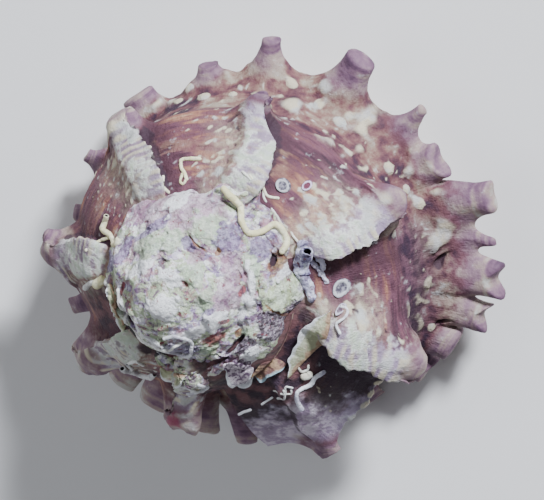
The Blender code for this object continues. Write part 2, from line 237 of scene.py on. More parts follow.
def lumps(points, size, seed):
    """Noise from -1 to 1: chance heights on a cubic lattice of that size, blended smoothly."""
    cell = points / size
    base = np.floor(cell).astype(np.int64)
    part = cell - base
    part = part * part * (3.0 - 2.0 * part)
    total = np.zeros(points.shape[:-1])
    for corner in range(8):
        step = np.array([corner & 1, corner >> 1 & 1, corner >> 2])
        weight = np.prod(np.where(step, part, 1.0 - part), axis=-1)
        total = total + weight * hashed(base + step, seed)
    return 2.0 * total - 1.0


def crumbs(points, size, octaves, seed):
    """Sum of lumps, each half as large and half as high as the one before."""
    total = np.zeros(points.shape[:-1])
    for octave in range(octaves):
        total = total + lumps(points, size / 2.0 ** octave, seed + octave) / 2.0 ** octave
    return total


def keel_radius(theta):
    """Radius of the upper keel where growth had reached theta."""
    return LIP_RADIUS * TURN_RATIO ** ((theta - LIP_ANGLE) / 360.0)


def flare(theta):
    """How far the lower keel stands outside the upper keel, per radius."""
    late = LATE_FLARE * smooth(*LATE_FLARE_SPAN, theta)
    return WALL_FLARE + late - LIP_TUCK * smooth(*LIP_TUCK_SPAN, theta)


def line_lag(v):
    """Angle by which a growth line trails at place v."""
    return LINE_LAG * smooth(*LINE_LAG_SPAN, v)


def section(theta, v):
    """Radius, height and growth angle of the plain skin at (theta, v).

    Ramp: a straight line from seam to upper keel plus a half sine. Wall: a straight line to the
    lower keel less a half sine. Base: a quarter of a squashed circle down to the pole.
    """
    size = keel_radius(theta)
    inner = size / TURN_RATIO
    part = SEAM_AT - 1.0
    seam_r = inner * (1.0 + flare(theta - 360.0) * part - WALL_HOLLOW * np.sin(np.pi * part))
    seam_z = -inner * (SPIRE_SLOPE + WALL_DEPTH * part)
    flange = LIP_FLANGE * smooth(*LIP_FLANGE_START, theta) * (1.0 - smooth(*LIP_FLANGE_END, theta))
    keel_r = size * (1.0 + flange)
    keel_z = -size * SPIRE_SLOPE
    low_r = size * (1.0 + flare(theta))
    low_z = keel_z - size * (WALL_DEPTH - LIP_RISE * smooth(*LIP_RISE_SPAN, theta))

    a = np.clip(v, 0.0, 1.0)
    swell = size * RAMP_BULGE * np.sin(np.pi * a) / math.sqrt(2.0)
    ramp_r = seam_r + (keel_r - seam_r) * a + swell
    ramp_z = seam_z + (keel_z - seam_z) * a + swell

    b = np.clip(v - 1.0, 0.0, 1.0)
    wall_r = keel_r + (low_r - keel_r) * b - size * WALL_HOLLOW * np.sin(np.pi * b)
    wall_z = keel_z + (low_z - keel_z) * b

    c = np.clip(v - 2.0, 0.0, 1.0) * np.pi / 2.0
    bulge = BASE_BULGE + LATE_BULGE * smooth(*LATE_BULGE_SPAN, theta)
    base_r = low_r * np.cos(c) ** BASE_CORNER[0]
    base_z = low_z + (-POLE_DEPTH - low_z) * np.sin(c) ** BASE_CORNER[1]
    base_z = base_z - size * bulge * np.sin(2.0 * c) ** BASE_CORNER[2]

    r = np.where(v <= 1.0, ramp_r, np.where(v <= 2.0, wall_r, base_r))
    z = np.where(v <= 1.0, ramp_z, np.where(v <= 2.0, wall_z, base_z))
    return r, z, theta - line_lag(v)


def place(r, z, angle):
    """Points in the shell's own frame, whose +Z is the axis towards the apex."""
    turn = np.radians(angle)
    return np.stack([r * np.cos(turn), -r * np.sin(turn), z + 0.0 * r], axis=-1)


def rest_turn():
    """Rotation from the shell's own frame to the way that it lies."""
    towards = math.radians(HEADING - LEAN_TOWARDS)
    tilt = Matrix.Rotation(math.radians(LEAN), 3, (-math.sin(towards), math.cos(towards), 0.0))
    return tilt @ Matrix.Rotation(math.radians(HEADING), 3, "Z")


def lie_down(points):
    """The shell's own frame to the world, cut off at the surface that it rests on."""
    points = points @ np.array(rest_turn()).T + np.array(GROWTH_CENTRE)
    points[..., 2] = np.maximum(points[..., 2], 0.0)
    return points


def normals(points):
    """Unit normals of a grid of points: the cross product of its two gradients."""
    along = np.gradient(points, axis=1)
    down = np.gradient(points, axis=0)
    normal = np.cross(along, down)
    return normal / np.maximum(np.linalg.norm(normal, axis=-1, keepdims=True), 1e-12)


def hollowness(points, normal, reach):
    """How deep a grid point lies below its neighbours that many steps away, in metres."""
    total = np.zeros(points.shape)
    for axis in (0, 1):
        index = np.arange(points.shape[axis])
        for step in (-reach, reach):
            near = np.clip(index + step, 0, points.shape[axis] - 1)
            total = total + np.take(points, near, axis=axis) - points
    return np.sum(total * normal, axis=-1) / 4.0


def spots(along, across, fill, seed):
    """Spots on a lattice of whole steps, each shifted and sized by chance: 1 in a spot, 0 between.

    Fill, from 0 to 1, makes them grow until they touch.
    """
    base = np.stack([np.floor(along), np.floor(across)], axis=-1).astype(np.int64)
    found = np.zeros(along.shape)
    for step in np.ndindex(3, 3):
        cell = base + np.array(step) - 1
        key = np.concatenate([cell, np.zeros_like(cell[..., :1])], axis=-1)
        middle_along = cell[..., 0] + 0.15 + 0.7 * hashed(key, seed)
        middle_across = cell[..., 1] + 0.30 + 0.4 * hashed(key, seed + 1)
        size = fill * (0.30 + 0.72 * hashed(key, seed + 2))
        away = np.hypot((along - middle_along) / 0.85, (across - middle_across) / 0.65)
        found = np.maximum(found, np.exp(-2.0 * (away / np.maximum(size, 0.01)) ** 2))
    return found


def rib_form(theta, v, angle):
    """Ribs: (height, phase, band).

    A rib's hind edge is a small step, its crest climbs a little, and its growing side drops
    steeply. The phase grows from 0 at one rib's crest to 1 at the next one's hind edge. The band
    is 1 on a rib.
    """
    size = keel_radius(theta)
    v_ramp = np.clip(v, 0.0, 1.0)
    end = 1.0 - smooth(*RIB_END, v)
    spot = place(size * (0.57 + 0.43 * v_ramp), 0.0 * size, angle)
    uneven = 0.00065 * crumbs(spot, 0.0030, 3, 17) + 0.00014 * np.sin(2.0 * np.pi * CORDS * v)
    waver = np.degrees(uneven / size) * smooth(0.05, 0.3, v)
    height = np.zeros(theta.shape)
    band = np.zeros(theta.shape)
    edges = []
    for keel_angle, _, _, half, _, _, _, rib, skew, bow, width, start, taper in RIBS:
        crest = keel_angle + skew * (1.0 - v_ramp) + bow * 4.0 * v_ramp * (1.0 - v_ramp)
        away = angle - crest + waver
        narrow = width * (taper + (1.0 - taper) * (1.0 - v_ramp))
        steep = np.degrees(0.35 * half / size)
        back = smooth(-narrow - 2.0, -narrow + 1.5, away)
        rise = (1.0 - RIB_BACK) * smooth(-1.9 * narrow, -0.35 * narrow, away) + RIB_BACK * back
        drop = 1.0 - smooth(0.0, steep, away)
        along = smooth(start - 0.1, start + 0.3, v)
        height = height + size * rib * rise * drop * along * end
        wide = smooth(-1.2 * narrow - 1.0, -0.5 * narrow, away)
        band = np.maximum(band, wide * drop * smooth(start - 0.05, start + 0.12, v))
        edges.append((crest - narrow, crest + 0.5 * steep))
    starts = [edges[0][1] - OUTER_GAP] + [crest for _, crest in edges]
    ends = [hind for hind, _ in edges] + [edges[-1][1] + OUTER_GAP]
    phase = np.ones(theta.shape)
    for first, last in zip(starts, ends):
        inside = (angle >= first) & (angle < last)
        phase = np.where(inside, (angle - first) / (last - first), phase)
    return height, phase, band * end


def foot(angle, v):
    """Where a spine of the last turn stands: centre, two directions along the skin, outward."""
    theta = angle + line_lag(v)
    r, z, _ = section(theta, v)
    r1, z1, _ = section(theta, v - KEEL_STEP)
    r2, z2, _ = section(theta, v + KEEL_STEP)
    turn = math.radians(angle)
    across = np.array([-math.sin(turn), -math.cos(turn), 0.0])
    outward = np.array([math.cos(turn), -math.sin(turn), 0.0])
    down = outward * (r2 - r1) + np.array([0.0, 0.0, z2 - z1])
    return theta, place(r, z, angle), across, down / np.linalg.norm(down), outward


def pull(points, theta, v, spine):
    """How the skin round a point of a keel is drawn out into a spine: (height from 0 to 1, move).

    Across the foot, from its edge to its middle, the skin climbs and gathers towards the tip,
    and the last part of it makes a round cap, dented where the tip is notched.
    """
    angle, reach, rise, half, tip, bend, notch = spine
    at, centre, across, down, outward = foot(angle, v)
    size = keel_radius(at)
    push = outward * size * reach + np.array([0.0, 0.0, size * rise])
    offset = points - centre
    x = offset @ across
    y = offset @ down
    z = offset @ np.cross(across, down)
    away = np.sqrt(x * x + (y / FOOT_FLAT) ** 2 + z * z) / half
    near = (away < 1.0) & (np.abs(theta - at) < SPINE_REACH)
    away = np.where(near, away, 1.0)
    climb = np.clip((away - CAP) / (1.0 - CAP), 0.0, 1.0)
    dome = np.sqrt(np.clip(1.0 - (away / CAP) ** 2, 0.0, 1.0))
    dent = notch * np.exp(-(x / (0.5 * CAP * half)) ** 2)
    height = ((1.0 - CAP_HEIGHT) * (1.0 - climb) ** FOOT_CURVE + CAP_HEIGHT * dome) * (1.0 - dent)
    cap_ring = tip * np.sin(0.5 * np.pi * away / CAP)
    ring = np.where(away < CAP, cap_ring, tip + (1.0 - tip) * climb ** 2)
    narrow = np.where(near, ring / np.maximum(away, 1e-6) - 1.0, 0.0)
    side = x[..., None] * across + y[..., None] * down
    curve = across * (bend * size) * (height ** 2)[..., None]
    return height, height[..., None] * push + narrow[..., None] * side + curve


def pull_all(points, theta, v, spines):
    """Draw out all spines of a keel. Where two feet meet, their moves are averaged by height.

    Returns the points and the greatest height.
    """
    total = np.zeros(points.shape)
    weights = np.full(theta.shape, 1e-9)
    greatest = np.zeros(theta.shape)
    for spine in spines:
        height, move = pull(points, theta, v, spine)
        total = total + (height ** 2)[..., None] * move
        weights = weights + height ** 2
        greatest = np.maximum(greatest, height)
    return points + total / weights[..., None], greatest


def skin(theta, v):
    """Points of the skin on a grid, before its fine relief, and marks that its finish reads."""
    r, z, angle = section(theta, v)
    lift, phase, band = rib_form(theta, v, angle)
    ahead = np.degrees(OVERHANG * lift * band / r.clip(0.004))
    points = place(r + RIB_OUT * lift, z + RIB_UP * lift, angle + ahead)
    points, upper = pull_all(points, theta, 1.0, [rib[:7] for rib in RIBS])
    points, lower = pull_all(points, theta, 2.0, SPINES)
    knobs = np.zeros(theta.shape)
    for knob_angle, knob_v, knob, half in KNOBS:
        spine = (knob_angle, 0.5 * knob, 0.1 * knob, half, KNOB_TIP, 0.0, 0.0)
        height, move = pull(points, theta, knob_v, spine)
        points = points + move
        knobs = np.maximum(knobs, height)
    return points, angle, phase, band, np.maximum(upper, lower), knobs


def relief(points, theta, v, angle, phase, band, spines, knobs):
    """Height of the fine relief, and how pale each point is.

    Flutes on the ribs, spots before them, cords on the ramp, bumps and knobs on the wall, scaly
    cords under the base, and a rough lime skin over it all.
    """
    scale = keel_radius(theta) / LIP_RADIUS
    ramp = smooth(0.02, 0.12, v) * (1.0 - smooth(1.05, 1.3, v))
    wall = smooth(1.05, 1.3, v) * (1.0 - smooth(1.85, 2.0, v))
    under = smooth(2.05, 2.25, v) * (1.0 - smooth(2.78, 2.97, v))
    warp = 0.45 * lumps(points, 0.0050, 11) + 0.34 * lumps(points, 0.0022, 12)
    ragged = 0.30 * crumbs(points, 0.0012, 2, 16)
    turns = np.clip(v, 0.0, 1.0) * CORDS + warp
    cord = 0.5 + 0.5 * np.cos(2.0 * np.pi * turns)
    patchy = 0.35 * lumps(points, 0.0045, 13)
    middle = smooth(0.50, 0.62, v) * (1.0 - smooth(0.80, 0.92, v))
    aged = phase + (0.24 * middle - 0.20) * smooth(200.0, 212.0, angle)
    fill = smooth(0.25, 1.00, aged + 0.6 * patchy) * (1.10 - 0.70 * smooth(0.65, 1.0, v))
    fill = fill * (1.0 - 0.65 * smooth(252.0, 260.0, angle))
    ramp_spots = spots(angle / SPOT_ANGLE + 1.2 * warp + ragged, 0.8 * turns + 0.5 + ragged, fill, 61)
    wall_fill = 0.30 + 0.5 * smooth(0.1, 0.8, 0.5 + 0.5 * lumps(points, 0.0060, 14))
    wall_row = np.clip(v - 1.0, 0.0, 1.0) * WALL_SPOT_ROWS + 1.5 * warp
    wall_spots = spots(angle / WALL_SPOT_ANGLE + 1.5 * warp + ragged, wall_row, wall_fill, 71)
    rings = np.clip(v - 2.0, 0.0, 1.0) * BASE_CORDS + 0.5 * warp
    base_cord = (0.5 + 0.5 * np.cos(2.0 * np.pi * rings)) ** 0.7
    scales = (angle / SCALE_ANGLE + 0.5 * np.floor(rings + 0.5)) % 1.0
    rough = crumbs(points, 0.0024, 4, 21)
    bumpy = crumbs(points, 0.0042, 2, 25)
    seam = smooth(0.0, 0.05, v) * (1.0 - 0.7 * smooth(1.15, 1.2, v) * (1.0 - smooth(1.2, 1.25, v)))
    flute = (0.25 + 0.75 * cord) * (0.62 + 0.38 * lumps(points, 0.0026, 15))
    flute = flute * (1.0 - 0.9 * smooth(256.0, 266.0, angle))
    height = FLUTE_HEIGHT * (flute - 0.4) * band + CORD_HEIGHT * (cord - 0.5) * (1.0 - band)
    height = scale * height * ramp
    height = height + SPOT_HEIGHT * scale * (ramp_spots * (1.0 - band) * ramp + wall_spots * wall)
    bumps = smooth(0.10, 0.90, crumbs(points, 0.0036, 2, 27))
    bumps = bumps * smooth(1.0, 1.25, v) * (1.0 - smooth(2.0, 2.3, v))
    bumps = bumps * (1.0 - smooth(0.2, 0.6, spines))
    height = height + BUMP_HEIGHT * bumps
    height = height + BASE_CORD_HEIGHT * scale * base_cord * (0.75 + 0.25 * scales) * under
    height = height + GRIT_HEIGHT * (1.0 + 2.0 * band + 0.8 * spines) * rough * seam
    height = height + LUMP_HEIGHT * (band + 1.3 * spines) * bumpy * seam
    wall_spots = wall_spots * (1.0 - smooth(0.05, 0.30, spines))
    flute = flute + (0.6 - flute) * smooth(0.55, 0.85, spines)
    # On a rib, pale follows the flutes, so the finish paints their grooves darker as shade.
    pale = np.maximum(ramp_spots * ramp * (1.0 - band) + flute * ramp * band, 0.8 * wall_spots * wall)
    pale = np.maximum(np.maximum(pale, 0.7 * smooth(0.10, 0.60, knobs)), 0.75 * bumps)
    pale = np.maximum(pale, base_cord * under)
    return height, pale


def pored(theta, v, angle):
    """How deep a point lies in a pore of the wall, from 0 to 1."""
    size = keel_radius(theta)
    depth = np.zeros(theta.shape)
    for pore_angle, pore_v, radius in PORES:
        down = 2.4 * WALL_DEPTH * (v - pore_v)
        away = size * np.hypot(np.radians(angle - pore_angle), down) / radius
        depth = np.maximum(depth, 1.0 - smooth(0.45, 1.15, away))
    return depth


def crowded(start, end, count, centres):
    """Numbers from start to end that crowd at centres: each is (place, spread, strength)."""
    fine = np.linspace(start, end, 4001)
    weight = np.ones(fine.shape)
    for at, spread, strength in centres:
        weight = weight + strength * np.exp(-((fine - at) / spread) ** 2)
    total = np.concatenate([[0.0], np.cumsum((weight[1:] + weight[:-1]) / 2.0)])
    return np.interp(np.linspace(0.0, total[-1], count + 1), total, fine)


def strip_angles():
    """Growth angles of all columns: the last turn's, crowded at the spines, and those before it."""
    centres = []
    for keel, spines in ((1.0, RIBS), (2.0, SPINES)):
        for spine in spines:
            at = spine[0] + line_lag(keel)
            centres.append((at, np.degrees(0.8 * spine[3] / keel_radius(at)), CROWDING))
    turn = crowded(FIRST_ANGLE, LIP_ANGLE, TURN_COLUMNS, centres)
    return np.concatenate([turn[-HIDDEN_COLUMNS - 1:-1] - 360.0, turn])


class Surface:
    """Points, faces and marks of one closed mesh, gathered as arrays."""

    def __init__(self, marks):
        self.names = marks
        self.points = np.empty((0, 3))
        self.marks = np.empty((0, len(marks)))
        self.quads = np.empty((0, 4), dtype=int)
        self.triangles = np.empty((0, 3), dtype=int)

    def add(self, points, marks=None):
        """Add points with their marks, and return their numbers in the same layout."""
        flat = points.reshape(-1, 3)
        if marks is None:
            marks = np.zeros((len(flat), len(self.names)))
        first = len(self.points)
        self.points = np.concatenate([self.points, flat])
        self.marks = np.concatenate([self.marks, np.reshape(marks, (-1, len(self.names)))])
        return np.arange(first, first + len(flat)).reshape(points.shape[:-1])

    def grid(self, ids):
        """Quads between neighbouring rows and columns."""
        corners = (ids[:-1, :-1], ids[:-1, 1:], ids[1:, 1:], ids[1:, :-1])
        self.quads = np.concatenate([self.quads, np.stack(corners, axis=-1).reshape(-1, 4)])

    def fan(self, row, tip):
        """Triangles from a row's neighbouring pairs to one point."""
        triangles = np.stack([row[:-1], row[1:], np.full(len(row) - 1, tip)], axis=-1)
        self.triangles = np.concatenate([self.triangles, triangles])

    def sleeve(self, points, marks, first, last, first_marks, last_marks):
        """Rows that close round, with each end shut by a fan to the point given."""
        ids = self.add(points, marks)
        ids = np.concatenate([ids, ids[:, :1]], axis=1)
        self.grid(ids)
        self.fan(ids[0][::-1], self.add(np.array([first]), first_marks)[0])
        self.fan(ids[-1], self.add(np.array([last]), last_marks)[0])

    def build(self, name, points):
        """An object of these faces with the points given, and a float attribute for each mark."""
        mesh = bpy.data.meshes.new(name)
        mesh.from_pydata(points.tolist(), [], self.quads.tolist() + self.triangles.tolist())
        for column, mark in enumerate(self.names):
            attribute = mesh.attributes.new(mark, "FLOAT", "POINT")
            attribute.data.foreach_set("value", self.marks[:, column].astype(np.float32))
        mesh.shade_smooth()
        mesh.validate()
        piece = bpy.data.objects.new(name, mesh)
        bpy.context.scene.collection.objects.link(piece)
        return piece


SKIN_MARKS = ("growth", "place", "phase", "band", "spine", "pale", "hollow", "nacre")


def skin_patch(theta, v):
    """Finished points of the skin on a grid, and its marks."""
    theta, v = np.meshgrid(theta, v)
    points, angle, phase, band, spines, knobs = skin(theta, v)
    height, pale = relief(points, theta, v, angle, phase, band, spines, knobs)
    pores = pored(theta, v, angle)
    points = points + (height - PORE_DEPTH * pores)[..., None] * normals(points)
    normal = normals(points)
    # Hollow: how deep a point lies among its near and farther neighbours; the finish darkens it as
    # grime and painted shade.
    hollow = smooth(0.00003, 0.00026, hollowness(points, normal, 3))
    deep = 1.0 - 0.65 * smooth(1.1, 1.4, v) * (1.0 - smooth(2.3, 2.6, v))
    hollow = np.maximum(hollow, smooth(0.0003, 0.0014, deep * hollowness(points, normal, 12)))
    hollow = hollow * (1.0 - 0.6 * smooth(1.1, 1.4, v)) * (1.0 - smooth(0.35, 0.60, spines))
    # Pores count as the deepest hollows, so the finish paints them dark as their shade.
    hollow = np.maximum(hollow, 1.6 * pores)
    pale = pale * (1.0 - pores)
    nacre = np.zeros(theta.shape)
    marks = np.stack([angle, v, phase, band, spines, pale, hollow, nacre], axis=-1)
    return points, marks


def add_strip(surface):
    """The spiral strip. Returns the point numbers of its ramp and of its wall and base.

    Row 0 of a turn is the bottom row of the turn before it. Under the crust the strip opens
    from almost nothing to its full width.
    """
    theta = strip_angles()
    ramp_rows = crowded(0.0, SEAM_AT, RAMP_ROWS, ((0.0, 0.08, 0.8), (1.0, 0.2, 0.9)))
    wall_rows = crowded(SEAM_AT, 3.0, WALL_ROWS, ((2.0, 0.22, 2.2),))
    every = np.concatenate([ramp_rows, wall_rows[1:]])
    points, marks = skin_patch(theta, every)
    hidden = slice(0, HIDDEN_COLUMNS - OPENED_BY)
    opening = 0.05 + 0.95 * smooth(theta[0], theta[HIDDEN_COLUMNS - OPENED_BY], theta)
    narrowed = SEAM_AT - (SEAM_AT - ramp_rows[:, None]) * opening
    r, z, angle = section(theta + 0.0 * narrowed, narrowed)
    plain = place(r, z, angle)
    points[:RAMP_ROWS + 1, hidden] = plain[:, hidden]

    ramp = np.empty((RAMP_ROWS + 1, len(theta)), dtype=int)
    ramp[1:] = surface.add(points[1:RAMP_ROWS + 1], marks[1:RAMP_ROWS + 1])
    free = slice(0, TURN_COLUMNS)
    ramp[0, free] = surface.add(points[0, free], marks[0, free])
    ramp[0, TURN_COLUMNS:] = ramp[-1, :-TURN_COLUMNS]
    surface.grid(ramp)

    last = slice(HIDDEN_COLUMNS, None)
    wall = np.empty((WALL_ROWS + 1, TURN_COLUMNS + 1), dtype=int)
    wall[0] = ramp[-1, last]
    wall[1:-1] = surface.add(points[RAMP_ROWS + 1:-1, last], marks[RAMP_ROWS + 1:-1, last])
    wall[-1] = surface.add(np.array([[0.0, 0.0, -POLE_DEPTH]]), marks[-1, -1])[0]
    surface.grid(wall[:-1])
    surface.fan(wall[-2], wall[-1, 0])
    return ramp, wall


def add_dome(surface, ramp):
    """Close the top, under the crust: a cone from the strip's upper edge."""
    loop = np.concatenate([ramp[0, :TURN_COLUMNS], ramp[::-1, 0]])
    edge = surface.points[loop]
    apex = np.array([0.0, 0.0, -APEX_DEPTH - DOME_SUNK])
    ring = apex + 0.5 * (edge - apex)
    numbers = surface.add(ring[:-1])
    numbers = np.append(numbers, numbers[0])
    surface.grid(np.stack([numbers, loop]))
    surface.fan(numbers[::-1], surface.add(apex[None, :])[0])


def add_mouth(surface, ramp, wall):
    """The rim of the lip, and the pearly tube that narrows as it winds back inside."""
    loop = np.concatenate([ramp[:, -1], wall[1:, -1], wall[1:-1, 0][::-1]])
    edge = surface.points[loop]
    r = np.hypot(edge[:, 0], edge[:, 1])
    centre_r = MOUTH_RADIUS * LIP_RADIUS
    centre_z = -MOUTH_DEPTH * LIP_RADIUS
    side_r = r - centre_r
    side_z = edge[:, 2] - centre_z
    number = np.arange(len(loop))
    pole = ramp.shape[0] + wall.shape[0] - 2
    edges = [pole - PILLAR_EDGE[0], pole - PILLAR_EDGE[1]]
    rim = np.interp(number, edges, [LIP_THICKNESS, PILLAR_THICKNESS]) * LIP_RADIUS
    around = np.arctan2(side_z, side_r)
    round_r = TUBE_RADIUS * LIP_RADIUS * np.cos(around)
    round_z = TUBE_RADIUS * LIP_RADIUS * np.sin(around)
    off_axis = number != pole
    turn = np.unwrap(np.degrees(np.arctan2(-edge[off_axis, 1], edge[off_axis, 0])), period=360.0)
    turn = np.interp(number, number[off_axis], turn)
    rings = [np.append(loop, loop[0])]
    back = TUBE_TURN * np.linspace(0.0, 1.0, TUBE_RINGS + 1) ** 1.3
    back = np.concatenate([[-RIM_AHEAD], back])
    for step, angle in enumerate(back):
        t = max(angle, 0.0) / TUBE_TURN
        share = RIM_SHARE if step == 0 else 1.0
        keep = np.clip(1.0 - share * rim / np.hypot(side_r, side_z), 0.3, 1.0)
        growth = TURN_RATIO ** (-angle / 360.0)
        taper = 1.0 - TUBE_TAPER * smooth(TUBE_TAPER_AT, 1.0, t)
        blend = smooth(0.0, TUBE_ROUND_AT, t)
        ring_r = growth * (centre_r + taper * (side_r * keep * (1.0 - blend) + round_r * blend))
        ring_z = growth * (centre_z + taper * (side_z * keep * (1.0 - blend) + round_z * blend))
        middle = FIRST_ANGLE - 0.5 * LINE_LAG
        ring_turn = turn * (1.0 - blend) + middle * blend - angle
        marks = np.zeros((len(loop), len(SKIN_MARKS)))
        marks[:, 0] = ring_turn
        marks[:, 1] = 2.0 + number / len(loop)
        marks[:, -1] = 1.0
        numbers = surface.add(place(ring_r, ring_z, ring_turn), marks)
        rings.append(np.append(numbers, numbers[0]))
    surface.grid(np.stack(rings)[::-1])
    end = surface.points[rings[-1][:-1]].mean(axis=0)
    surface.fan(rings[-1][::-1], surface.add(end[None, :], marks[:1])[0])


def make_skin():
    """The whole shell but for its crust: strip, dome and mouth."""
    surface = Surface(SKIN_MARKS)
    ramp, wall = add_strip(surface)
    add_dome(surface, ramp)
    add_mouth(surface, ramp, wall)
    return surface.build("shell_skin", lie_down(surface.points))


# Crust on the spire
CRUST_COLUMNS = 620
CRUST_RINGS = 140
CRUST_OVERLAP = 0.0004     # how far the crust reaches over the seam
CRUST_WAVER = 0.0007       # how far its edge wavers
CRUST_ROOT = 0.020         # depth of the point inside the shell that closes it
CRUST_THICKNESS = 0.00050
SOFT_STEP = 0.0009         # reach of the softening of the turns
WORN_SPAN = (0.0030, 0.0065)        # distances from the axis between which the turns show again
DOME_CURVE = 55.0          # bend of the worn dome: drop per square of the distance
KNOB_HEIGHT = 0.0010       # worn knob at the apex
KNOB_RADIUS = 0.0018
LEDGE_STEPS = 13.0         # ledges from the axis to the edge
LEDGE_HEIGHT = 0.0012

# Patches of the crust by kind: growth angle and distance from the axis of the middle, half length
# along the spiral, half width, turn of the length towards the axis
PATCHES = {
    "pink": ((128, 0.0120, 0.0080, 0.0026, 0), (190, 0.0105, 0.0034, 0.0014, 10),
             (162, 0.0080, 0.0012, 0.0012, 0), (216, 0.0095, 0.0030, 0.0016, 0),),
    "mint": ((157, 0.0115, 0.0026, 0.0017, 0), (104, 0.0083, 0.0028, 0.0020, 10),
             (178, 0.0062, 0.0024, 0.0012, 0), (198, 0.0125, 0.0020, 0.0010, 0),
             (250, 0.0125, 0.0020, 0.0012, 0), (20, 0.0098, 0.0030, 0.0008, 0),
             (132, 0.0088, 0.0018, 0.0012, 0), (214, 0.0066, 0.0020, 0.0010, 20),
             (280, 0.0098, 0.0016, 0.0008, 0),),
    "green": ((222, 0.0150, 0.0024, 0.0020, 0),),
    "chalk": ((246, 0.0008, 0.0020, 0.0017, 0), (243, 0.0080, 0.0020, 0.0013, 30),
              (150, 0.0046, 0.0020, 0.0010, 0), (128, 0.0134, 0.0016, 0.0012, 0),
              (262, 0.0066, 0.0018, 0.0010, 20), (222, 0.0118, 0.0012, 0.0010, 0),
              (235, 0.0108, 0.0016, 0.0006, 0), (208, 0.0120, 0.0024, 0.0006, 0),
              (209, 0.0157, 0.0009, 0.0006, 0), (262, 0.0145, 0.0018, 0.0009, 0),
              (96, 0.0062, 0.0030, 0.0008, 0), (16, 0.0074, 0.0040, 0.0006, 0),
              (-28, 0.0070, 0.0026, 0.0006, 0),),
    "dusky": ((150, 0.0088, 0.0014, 0.0008, 20), (236, 0.0072, 0.0012, 0.0008, 0),
              (76, 0.0100, 0.0022, 0.0008, 0), (172, 0.0122, 0.0018, 0.0014, 30),
              (190, 0.0140, 0.0016, 0.0010, 0), (60, 0.0118, 0.0014, 0.0014, 0),
              (108, 0.0103, 0.0036, 0.0005, -16),),
    "speckled": ((236, 0.0150, 0.0036, 0.0022, 0), (258, 0.0132, 0.0018, 0.0012, 0),
                 (275, 0.0150, 0.0016, 0.0012, 0),),
    "stain": ((265, 0.0092, 0.0018, 0.0011, 0), (242, 0.0092, 0.0007, 0.0005, 0),
              (213, 0.0108, 0.0010, 0.0005, 20), (48, 0.0074, 0.0014, 0.0003, 0),
              (178, 0.0050, 0.0008, 0.0003, 0),),
    "rust": ((158, 0.0092, 0.0028, 0.0002, 12), (175, 0.0098, 0.0007, 0.0004, 60),
             (232, 0.0152, 0.0020, 0.0003, -44), (203, 0.0150, 0.0016, 0.0008, 0),
             (252, 0.0112, 0.0008, 0.0005, 0),),
    # Pits: sunk into the crust and painted near-black as their shade.
    "pit": ((201, 0.0146, 0.0007, 0.0003, 0), (18, 0.0088, 0.0030, 0.0004, -10),
            (-1, 0.0106, 0.0024, 0.0008, -8), (-20, 0.0116, 0.0026, 0.0012, 0),
            (-34, 0.0104, 0.0020, 0.0007, 0), (-52, 0.0118, 0.0022, 0.0005, 0),
            (284, 0.0125, 0.0026, 0.0004, 0), (262, 0.0119, 0.0022, 0.0003, 0),),
    "coil": ((297, 0.0080, 0.0020, 0.0017, 0),),
    "ledge": ((285, 0.0118, 0.0060, 0.0024, 0), (-46, 0.0128, 0.0034, 0.0018, 0),),
}
KINDS = tuple(PATCHES)
CRUST_MARKS = (*KINDS[:-1], "hollow")

# Lobes of the crust's edge: growth angle, half width in degrees, how far they stand out
LOBES = (
    (157, 12, 0.0030),
    (182, 20, 0.0024),
    (128, 10, 0.0008),
    (84, 22, 0.0009),
    (221, 9, 0.0010),
    (247, 12, -0.0002),
    (272, 12, -0.0008),
    (292, 16, -0.0034),
    (-46, 14, 0.0036),
    (-30, 8, 0.0014),
    (-12, 12, 0.0010),
)


def ramp_height(r, angle):
    """Height of the last turn's ramp with its ribs.

    Its place v is found in three steps, each by the distance that is still missing.
    """
    seam_r, _, _ = section(angle, 0.0 * angle)
    keel_r, _, _ = section(angle, 0.0 * angle + 1.0)
    v = np.clip((r - seam_r) / (keel_r - seam_r), 0.0, 1.0)
    for _ in range(3):
        there, z, _ = section(angle, v)
        lift, _, _ = rib_form(angle, v, angle)
        v = np.clip(v + (r - there - RIB_OUT * lift) / (keel_r - seam_r), 0.0, 1.0)
    return z + RIB_UP * lift


def spire_height(r, angle):
    """Height of the plain spire.

    It is stairs, each turn as large as the one inside it times the growth ratio. Beyond the seam
    it is the last turn's ramp.
    """
    size = keel_radius(angle)
    turns = np.ceil(np.log(np.maximum(r, 1e-5) / size) / math.log(TURN_RATIO) - 1e-9)
    keel = size * TURN_RATIO ** turns
    across = np.linspace(0.0, 1.0, 200)
    table_r, table_z, _ = section(0.0 * across, across)
    unit = keel_radius(0.0)
    stairs = keel * np.interp(r / keel, table_r / unit, table_z / unit)
    return np.where(turns >= 0.0, ramp_height(r, angle), stairs)


def crust_edge(angle):
    """Distance from the axis to the crust's edge: the seam, and a straight step at the lip."""
    seam = 0.985 * keel_radius(angle - 360.0)
    full = 0.985 * keel_radius(FIRST_ANGLE)
    edge = seam + (full - seam) * (1.0 - smooth(FIRST_ANGLE, FIRST_ANGLE + 16.0, angle))
    around = place(edge, 0.0 * edge, angle)
    edge = edge + CRUST_OVERLAP + CRUST_WAVER * crumbs(around, 0.0034, 4, 41)
    for middle, half, out in LOBES:
        away = (angle - middle + 180.0) % 360.0 - 180.0
        edge = edge + out * np.exp(-(away / half) ** 4)
    return edge


def patch_dome(points, kind):
    """Soft domes at the patches of one kind: 1 in the middle, a quarter at the uneven edge."""
    dome = np.zeros(points.shape[:-1])
    uneven = 0.30 * crumbs(points, 0.0022, 2, 57) + 0.30 * crumbs(points, 0.0008, 3, 59)
    for angle, radius, length, width, turn in PATCHES[kind]:
        middle = place(radius, 0.0, angle)
        heading = math.radians(angle + 90.0 + turn)
        along = np.array([math.cos(heading), -math.sin(heading)])
        across = np.array([along[1], -along[0]])
        offset = (points - middle)[..., :2]
        away = np.hypot(offset @ along / length, offset @ across / width)
        dome = np.maximum(dome, 1.0 - smooth(0.0, 1.5, away * (1.0 + uneven)))
    return dome


